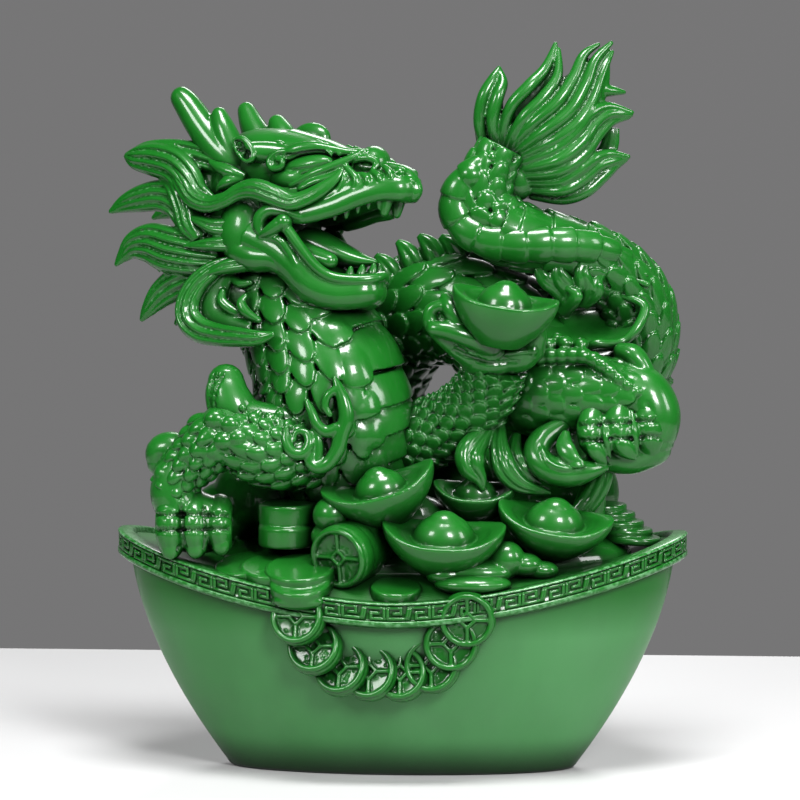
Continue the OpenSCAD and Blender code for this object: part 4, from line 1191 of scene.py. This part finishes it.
UPPER_ARM = Sweep([[-14, -8, 83, 9.5], [-22, -14, 82, 9.8], [-30, -17.5, 82, 9.6], [-37, -19.5, 84, 8.4],
                   [-42.5, -20, 87, 6.4]], 0.9)
FOREARM = Sweep([[-40, -20, 88, 6.8], [-45, -20, 84.5, 6.6], [-49.5, -19.5, 80, 5.6], [-53.5, -19, 75.5, 4.8],
                 [-55.5, -18.6, 71.5, 4.8]], 0.95)
RAISED_ARM = Sweep([[-4, -2, 80, 8.5], [4, -3.5, 83.5, 8], [12, -5.5, 87, 7.6], [18, -7.5, 91.5, 7.4],
                    [22, -9.5, 97, 7.0], [24.5, -12, 103, 6.6]], 0.95)
THIGH = Sweep([[26, 3, 95, 10.5], [34, 0, 95, 10.8], [42, -2.5, 95, 10.2], [50, -5, 95, 8.8],
               [57, -6.5, 94.5, 7.6], [61, -7.5, 92, 6.6]], 0.85)
FAR_THIGH = Sweep([[34, 17, 97, 10], [42, 21, 92, 9.4], [46, 23.5, 86.5, 8], [44.5, 25, 80, 6.6],
                   [39, 24.5, 72, 5.6]],
                  0.9)


def digit(clay, route, cuts, nail=None, matrix=None):
    """A toe or finger with creases across its front and a flat pointed nail."""
    clay.tube(route, 1, 24, matrix=matrix)
    line = np.array(route, float)
    for at in cuts:
        x, y, z, r = (np.interp(at, np.arange(len(line)), line[:, k]) for k in range(4))
        clay.stroke([(x - 0.85 * r, y - 0.5 * r, z), (x, y - r, z + 0.3), (x + 0.85 * r, y - 0.5 * r, z)],
                    0.62, 1.15, matrix)
    if nail:
        clay.lock(nail, 0.5, 1, 0.1, matrix, 10)


def gap_line(clay, top, bottom, matrix=None):
    """The deep line between two neighbouring toes."""
    middle = [(a + b) / 2 - (0.6 if k == 1 else 0) for k, (a, b) in enumerate(zip(top, bottom))]
    clay.stroke([top, middle, bottom], 0.7, 1.0, matrix)


def foreleg_near():
    clay = Clay().add(*UPPER_ARM.skin(-1.0)).add(*FOREARM.skin(-1.0))
    clay.ball((-42.5, -20, 87), 6.6)
    clay.scales(UPPER_ARM, (2, UPPER_ARM.length - 1), 3.3, 4.1, (-152, -28), 1.35, 1.4, 0.9, square=0.1,
                root=1.6)
    clay.scales(UPPER_ARM, (2, UPPER_ARM.length - 1), 3.9, 4.6, (-28, 208), 1.4, 0.9, 0.4, root=1.6)
    clay.scales(FOREARM, (4, FOREARM.length - 3), 3.1, 3.8, (-180, 180), 1.35, 1.4, 1.0, square=0.1, root=1.6)
    for x, y, z, r in ((-44.3, -25.2, 90, 2.9), (-40.5, -26, 88.8, 2.6), (-45.8, -25.4, 86, 2.6),
                       (-42.2, -26.4, 84.8, 2.6), (-38.6, -26.8, 85.6, 2.4), (-47, -25.2, 82.2, 2.3),
                       (-49.8, -24.2, 84, 2.0), (-50.6, -24.2, 80.4, 1.9), (-43.6, -25.4, 81.4, 2.2),
                       (-53.2, -23.2, 79.4, 1.8)):
        clay.ball((x, y, z), r, (1, 0.75, 0.9), sides=20)
    for x, z, r in ((-36.5, 90.6, 1.3), (-33.8, 91.4, 1.1), (-34.6, 89.2, 1.2), (-31.2, 90.6, 1.2),
                    (-28.6, 91.2, 1.3), (-37.8, 92.6, 1.2), (-29.8, 88.8, 1.0)):
        clay.ball((x, -23.2, z), r, (1, 0.8, 1), sides=14)
    cast("foreleg_near", "scale_resin", clay, voxel=VOXEL * 0.85, soften=1)


def forepaw_near():
    clay = Clay()
    fin(clay)
    clay.tube([(-53, -18.8, 78, 5.2), (-55, -18.8, 74, 5.6), (-55.6, -19, 70.5, 5.6),
               (-54, -19, 66.5, 5.6)], 1, 32)
    clay.ball((-50, -18.5, 66), 1, (7.8, 5.0, 5.2))
    clay.ball((-50, -17.6, 60.6), 1, (8.4, 4.6, 5.0))
    clay.ball((-57.6, -20.4, 75.8), 1, (2.6, 3.0, 3.0), sides=20)
    clay.stroke([(-53.6, -24.4, 70.9), (-53.2, -24.4, 70.7)], 0.8, 1.0)
    toes = [([(-55.8, -18.6, 68.6, 3.4), (-56, -22, 65.6, 3.6), (-56, -23.2, 61.2, 3.5),
              (-55.6, -22.6, 57.8, 3.0)], (0.9, 1.75)),
            ([(-49.8, -18.4, 68.6, 3.4), (-50, -21.8, 65.8, 3.5), (-49.8, -23.2, 61.4, 3.5),
              (-49.4, -22.6, 58, 2.9)], (0.9, 1.75)),
            ([(-44.0, -17.6, 67.6, 3.2), (-44, -20.6, 65.4, 3.3), (-43.8, -22, 61.6, 3.3),
              (-43.2, -21.6, 58.6, 2.7)], (0.9, 1.75))]
    for route, cuts in toes:
        digit(clay, route, cuts)
        x, y, z, r = route[-1]
        clay.ball((x, y - r * 0.75, z - 0.2), 1, (2.2, 1.2, 2.6), sides=24)
    gap_line(clay, (-52.9, -24.2, 68.2), (-52.6, -25.6, 57))
    gap_line(clay, (-46.9, -23.6, 68), (-46.4, -25, 57.4))
    clay.tube([(-52, -15, 78, 3.8), (-55.4, -14.6, 81.2, 4.3), (-58.6, -14.2, 80.6, 4.3),
               (-59.2, -14.6, 77.8, 3.4)], 1, 28)
    cast("forepaw_near", "skin_resin", clay, soften=3)


def fin(clay):
    """The smooth fin behind the elbow, with grooves down its outer edge, and the smooth skin it runs into."""
    clay.tube([(-38, -18, 86.5, 5.8), (-40.4, -19, 91.2, 6.2), (-42, -18.6, 95.4, 5.6),
               (-42.4, -17.6, 98.4, 4.8)],
              0.8, 36)
    clay.tube([(-40, -19.4, 90.4, 5.2), (-34.5, -19, 89.0, 5.0), (-28.5, -18.4, 88.4, 4.6),
               (-22.5, -17.6, 88.4, 4.0)], 0.9, 28)
    for k in range(3):
        x = k * 1.3
        clay.stroke([(-45.6 + x, -21.4, 88.4), (-46.8 + x, -21.6, 93.2), (-46.6 + x, -21.2, 97.0),
                     (-45.2 + x, -20.2, 100.4)],
                    0.5, 0.8)


def leg_flames():
    clay = Clay()
    for route in ([(-15, -23.6, 100.4, 0.6), (-14, -24, 98, 1.3), (-12.6, -24.6, 94.5, 1.8),
                   (-12, -25, 90.5, 2.0), (-13.2, -25.2, 86.5, 2.0), (-14.3, -25.4, 82.5, 1.9),
                   (-16.4, -25.4, 79.4, 1.8), (-19, -25.6, 78.4, 1.7), (-20.8, -25.8, 79.6, 1.5),
                   (-21, -25.8, 82, 1.2)],
                  [(-21.8, -24, 94.6, 0.7), (-20.6, -24.6, 92, 1.2), (-19.2, -25.2, 89, 1.4),
                   (-16.9, -25.4, 87.2, 1.6), (-14.4, -25.4, 88, 1.6)],
                  [(-14.6, -24.4, 97.6, 1.0), (-16.6, -24.6, 96, 1.1), (-17.2, -24.8, 93.4, 1.0),
                   (-16, -25, 91.4, 0.8)],
                  [(-26.8, -25, 88, 0.8), (-26.8, -25.8, 84.8, 1.3), (-25, -26.4, 82, 1.5),
                   (-22.4, -26.2, 82, 1.5), (-21, -25.8, 84.4, 1.4), (-22, -25, 86.8, 1.1),
                   (-24.4, -25, 87, 0.8), (-24.8, -25.6, 85, 0.6)],
                  [(-20, -24.8, 88, 0.8), (-19, -25.2, 85, 1.2), (-18.8, -25.4, 82, 1.2),
                   (-19.6, -25.6, 79.8, 1.2)]):
        clay.tube(route, 0.9, 16)
    for route, thick, ridges in (
            ([(23, -9, 88, 1.6), (20, -13.5, 84.5, 3.0), (18, -16.4, 81, 3.8), (18.6, -17.4, 77.6, 3.4),
              (20.6, -17.4, 74.6, 1.8), (21.4, -17.4, 71.8, 0.4)], 0.6, 2),
            ([(25, -8, 88, 1.2), (25, -13, 83, 2.4), (26, -15.6, 79, 3.0), (28, -16, 75.4, 2.8),
              (31.5, -15.6, 72.8, 2.0), (38, -14.4, 71, 0.5)], 0.6, 3),
            ([(29, -7, 85, 1.2), (28.6, -12, 81, 2.2), (30.4, -14, 77.6, 2.4), (32.6, -14, 75, 1.6),
              (35.4, -13.4, 73.2, 0.4)],
             0.6, 4)):
        clay.lock(route, thick, ridges, 0.4, steps=14)
    cast("leg_flames", "hair_resin", clay, voxel=VOXEL * 0.85, soften=1)


def foreleg_raised():
    clay = Clay().add(*RAISED_ARM.skin(-0.9))
    clay.scales(RAISED_ARM, (3, RAISED_ARM.length - 2), 3.0, 3.8, (-180, 180), 1.5, 1.7, 0.3, square=0.05,
                root=1.6)
    cast("foreleg_raised", "scale_resin", clay, voxel=VOXEL * 0.85, soften=1)


def claw_raised():
    clay = Clay()
    for at, axes in (((22.4, -14.5, 104.6), (7.6, 5, 5.0)), ((28, -13.8, 105.6), (7.0, 5, 5.0)),
                     ((33, -13.4, 108.0), (3.6, 4, 5.0)), ((19, -16.5, 107.6), (5, 4.2, 4))):
        clay.ball(at, 1, axes, sides=32)
    for route in ([(18, -16.5, 105, 3.0), (12.5, -19.4, 109.6, 2.5), (8.8, -20.4, 113.6, 2.1),
                   (8.6, -20.6, 116.8, 1.8), (11.2, -21, 118, 1.5), (12.6, -21.4, 116.4, 1.2)],
                  [(23.5, -19.5, 107.8, 2.8), (17.4, -22.4, 110.6, 2.6), (12.8, -23, 112.2, 2.3),
                   (9.6, -22.8, 112.6, 2.0)],
                  [(18.4, -19, 109.5, 2.6), (15.6, -21.4, 113.6, 2.6), (13.6, -21.6, 117.4, 2.3),
                   (12.2, -19.8, 119.6, 1.8)],
                  [(32.6, -14.4, 106.4, 3.4), (34.6, -16, 110.4, 2.4), (35.0, -17, 113.4, 1.2)]):
        clay.tube(route, 1, 22)
    clay.stroke([(15, -21.4, 109), (19, -21, 106.8), (24, -19.8, 106.2), (29, -19.0, 106.4),
                 (34.5, -17.4, 106.8)], 0.9, -0.9)
    clay.stroke([(14.5, -21, 107), (19, -20.2, 104.8), (24, -19.4, 103.8), (30, -18.4, 104.2)], 0.8, 0.6)
    clay.stroke([(12.2, -23, 110.2), (15.6, -23, 108.6), (19.6, -21.6, 107.4)], 0.6, 0.7)
    cast("claw_raised", "skin_resin", clay, soften=3)


def hind_leg_near():
    clay = Clay().add(*THIGH.skin(-0.3))
    clay.scales(THIGH, (4, THIGH.length - 5), 4.2, 5.0, (-175, -25), 1.45, 0.8, 0.35, root=1.0)
    clay.scales(THIGH, (4, THIGH.length - 5), 4.2, 5.0, (-25, 185), 1.45, 0.9, 0.4, root=1.0)
    clay.tube([(57, -6, 98, 5.2), (61, -7, 95.4, 6.2), (63.2, -7.6, 90, 6.6), (62.6, -7.8, 84.5, 6.0)],
              0.95, 36)
    clay.tube([(55, -5, 105.6, 2.2), (58, -6, 104.6, 2.8), (60.6, -6.6, 101, 2.6), (61.4, -7, 97.5, 2.8)],
              1, 24)
    crest = Sweep([(35, -8.4, 104.4, 2.0), (41, -9.4, 104.8, 2.1), (46.4, -10.4, 104.8, 2.1),
                   (50.6, -11.4, 102.6, 1.9), (54.8, -12, 99.4, 1.7), (59.4, -12.4, 96, 1.3)])
    for x, y, z, r in ((37, -6, 107, 2.0), (41, -6.6, 107.6, 2.2), (45, -7.4, 107.4, 2.0),
                       (39, -4, 108.4, 1.8)):
        clay.ball((x, y, z), r, (1, 1, 0.9), sides=16)
    for s in np.arange(0, crest.length, 2.7):
        clay.ball(crest.point(s, 0.0, -np.interp(s, crest.arc, crest.radius)),
                  np.interp(s, crest.arc, crest.radius) * 1.1, (1, 0.9, 0.9), sides=16)
    clay.stroke([(61.4, -13, 93.6), (62.6, -13.2, 91.4)], 0.8, 0.4)
    cast("hind_leg_near", "scale_resin", clay, soften=2)


def hind_fist_near():
    clay = Clay()
    clay.tube([(50, -9, 80, 3.6), (57, -8.6, 79.4, 4.2), (63, -7.6, 82, 4.8)], 1, 28)
    clay.ball((56, -8.5, 87), 1, (9, 4.5, 6.5), sides=36)
    digit(clay, [(48.6, -9, 91.4, 3.0), (47.6, -11.6, 88, 3.4), (48, -12.8, 83.8, 3.3),
                 (50.2, -12, 80.4, 2.0)], (1, 1.9),
          [(47.8, -15.4, 85, 1.2), (48.6, -15.8, 82.4, 2.0), (50.2, -15.2, 80.2, 1.6),
           (51.8, -14.2, 78.6, 0.4)])
    digit(clay, [(55, -9.4, 92.4, 3.1), (54.4, -12.2, 88.6, 3.6), (55.2, -12.9, 84.4, 3.5),
                 (57.6, -11.8, 81.4, 2.2)], (1, 1.9),
          [(54.8, -15.9, 86, 1.2), (55.8, -16, 83.4, 2.1), (57.4, -15.2, 81.2, 1.7), (59, -13.8, 79.6, 0.4)])
    digit(clay, [(61.6, -8, 93, 3.4), (61.8, -10.8, 89, 4.0), (62.2, -10.8, 84.8, 3.9),
                 (62.4, -9.4, 81.4, 3.0)], (1, 1.9))
    clay.ball((51.2, -9.6, 86), 1, (3.6, 4.6, 5.6), sides=28)
    clay.ball((58.6, -9.2, 86.4), 1, (3.6, 4.8, 5.8), sides=28)
    for top, tip in (((50.6, -13.2, 90.4), (52.6, -14.2, 79.6)), ((57.8, -12.8, 92), (59.4, -13.6, 80.4))):
        middle = [(a + b) / 2 - (1.6 if k == 1 else 0) for k, (a, b) in enumerate(zip(top, tip))]
        clay.lock([(*top, 0.3), (*middle, 1.0), (*tip, 0.2)], 1.1, 1, 0.0, steps=12)
    clay.tube([(40, -8.4, 87, 2.4), (35.6, -11.4, 84, 3.2), (34.4, -13.6, 80.6, 3.4), (36.8, -15, 77.6, 3.6),
               (41.4, -15.4, 76.2, 3.7), (46.2, -14.6, 76.6, 3.0), (51.2, -13.2, 77.6, 1.2)], 0.9, 28)
    clay.lock([(41.6, -12.6, 86.4, 1.0), (41.4, -15.8, 83, 2.4), (43.6, -17.6, 80, 2.0),
               (46.8, -17.4, 78.6, 0.4)], 0.55, 1, 0.1)
    clay.stroke([(36, -16.6, 82.6), (37.4, -18.2, 79.6), (41, -19, 78), (46, -18, 78.4)], 0.9, -0.7)
    cast("hind_fist_near", "skin_resin", clay, soften=3)


def hind_leg_far():
    clay = Clay().add(*FAR_THIGH.skin(-0.4))
    clay.scales(FAR_THIGH, (2, FAR_THIGH.length - 2), 4.2, 4.8, (-180, 180), 1.45, 0.9, 0.5, root=1.0)
    clay.tube([(39, 24.5, 72, 5.6), (37, 24, 68, 5.6), (37, 23.6, 64, 5.2)], 1, 28)
    cast("hind_leg_far", "scale_resin", clay, soften=2)


def hind_paw_far():
    clay = Clay()
    clay.ball((37, 23, 62.5), 1, (7.5, 5.5, 5), sides=32)
    for x, out in ((31.5, 25.6), (37, 27), (42.5, 25.6)):
        clay.tube([(x, 21, 64.5, 3.2), (x, out - 1.2, 63.4, 3.3), (x, out + 0.4, 60.4, 3.0),
                   (x, out + 0.8, 57.8, 1.8)], 1, 24)
        clay.stroke([(x - 3, out + 1, 62.2), (x, out + 3.4, 62.4), (x + 3, out + 1, 62.2)], 0.75, 0.9)
    cast("hind_paw_far", "skin_resin", clay, soften=3)


# ---------------------------------------------------------------- stage

CAMERA_AZIMUTH, CAMERA_ELEVATION = math.radians(4), math.radians(6)
CAMERA_DISTANCE = 1.4
CAMERA_TARGET = Vector((-0.0005, 0, 0.0925))
MIDDLE = (0, 0, 0.09)                    # where the lights aim
LIGHTS = {                               # place, size, watts, aim
    "top": ((0.05, -0.34, 1.0), (0.4, 0.3), 18.5, (0, 0, 0.06)),
    "key": ((0.40, -0.85, 0.55), (0.27, 0.27), 13.5, MIDDLE),
    "left": ((-0.6, -0.7, 0.6), (0.27, 0.27), 7.2, MIDDLE),
    "right": ((0.85, -0.35, 0.45), (0.2, 0.34), 4.6, MIDDLE),
    "rear": ((0.1, 0.8, 0.7), (0.5, 0.2), 4, MIDDLE),
}
FLOOR_HALF, FLOOR_BACK = 0.42, 0.19
BACKDROP_HALF, BACKDROP_Y = 4, 2.0
BACKDROP_GLOW, WORLD_GLOW = 0.155, 0.02


def camera():
    data = bpy.data.cameras.new("camera")
    data.sensor_width, data.lens = 36.0, 252.0
    data.clip_start, data.clip_end = 0.05, 20.0
    cam = bpy.data.objects.new("camera", data)
    bpy.context.scene.collection.objects.link(cam)
    level = math.cos(CAMERA_ELEVATION)
    back = Vector((math.sin(CAMERA_AZIMUTH) * level, -math.cos(CAMERA_AZIMUTH) * level,
                   math.sin(CAMERA_ELEVATION)))
    cam.location = CAMERA_TARGET + back * CAMERA_DISTANCE
    cam.rotation_mode = "QUATERNION"
    cam.rotation_quaternion = (-back).to_track_quat("-Z", "Y")
    bpy.context.scene.camera = cam


def area_light(name, at, size, power, aim):
    data = bpy.data.lights.new(name, "AREA")
    data.shape, data.size, data.size_y, data.energy = "RECTANGLE", size[0], size[1], power
    light = bpy.data.objects.new(name, data)
    light.location = at
    light.rotation_mode = "QUATERNION"
    light.rotation_quaternion = (Vector(aim) - Vector(at)).to_track_quat("-Z", "Y")
    bpy.context.scene.collection.objects.link(light)


def plain(name, colour, roughness):
    material = bpy.data.materials.new(name)
    material.use_nodes = True
    shader = material.node_tree.nodes["Principled BSDF"]
    shader.inputs["Base Color"].default_value = colour
    shader.inputs["Roughness"].default_value = roughness
    return material


def sheet_of(name, corners, material):
    mesh = bpy.data.meshes.new(name)
    mesh.from_pydata(corners, [], [(0, 1, 2, 3)])
    mesh.materials.append(material)
    obj = bpy.data.objects.new(name, mesh)
    bpy.context.scene.collection.objects.link(obj)


def stage():
    sheet_of("floor", [(-FLOOR_HALF, -FLOOR_HALF, 0), (FLOOR_HALF, -FLOOR_HALF, 0),
                       (FLOOR_HALF, FLOOR_BACK, 0), (-FLOOR_HALF, FLOOR_BACK, 0)],
                       plain("floor_white", (0.41, 0.41, 0.412, 1), 0.5))
    backdrop = plain("backdrop_grey", (0.05, 0.05, 0.05, 1), 1.0)
    shader = backdrop.node_tree.nodes["Principled BSDF"]
    shader.inputs["Emission Color"].default_value = (1.0, 0.99, 1.0, 1)
    shader.inputs["Emission Strength"].default_value = BACKDROP_GLOW
    sheet_of("backdrop", [(-BACKDROP_HALF, BACKDROP_Y, -1.5), (BACKDROP_HALF, BACKDROP_Y, -1.5),
                          (BACKDROP_HALF, BACKDROP_Y, 2.5), (-BACKDROP_HALF, BACKDROP_Y, 2.5)], backdrop)
    for name, (at, size, power, aim) in LIGHTS.items():
        area_light(name, at, size, power, aim)
    world = bpy.data.worlds.new("studio")
    world.use_nodes = True
    world.node_tree.nodes["Background"].inputs[0].default_value = (0.5, 0.5, 0.52, 1)
    world.node_tree.nodes["Background"].inputs[1].default_value = WORLD_GLOW
    bpy.context.scene.world = world
    bpy.context.scene.view_settings.view_transform = "Standard"


PIECES = [ingot_hull, rim_band, treasure_bed, garland, coin_roll, thick_discs, deck_coins, rim_slabs, nuggets,
          side_coin_stack, fist_prop, ingots, pearl, chest, body_rise, body_arch, haunch, body_coil,
          coil_plates,
          tail, dorsal_spikes, tail_flame, head_upper, lower_jaw, tongue, teeth, eyes, cheek_pads, horn_near,
          horn_far, ears, moustaches, manes, beard, collars, foreleg_near, forepaw_near, leg_flames,
          foreleg_raised, claw_raised, hind_leg_near,
          hind_fist_near, hind_leg_far, hind_paw_far]

camera()
for make in PIECES:
    make()
stage()
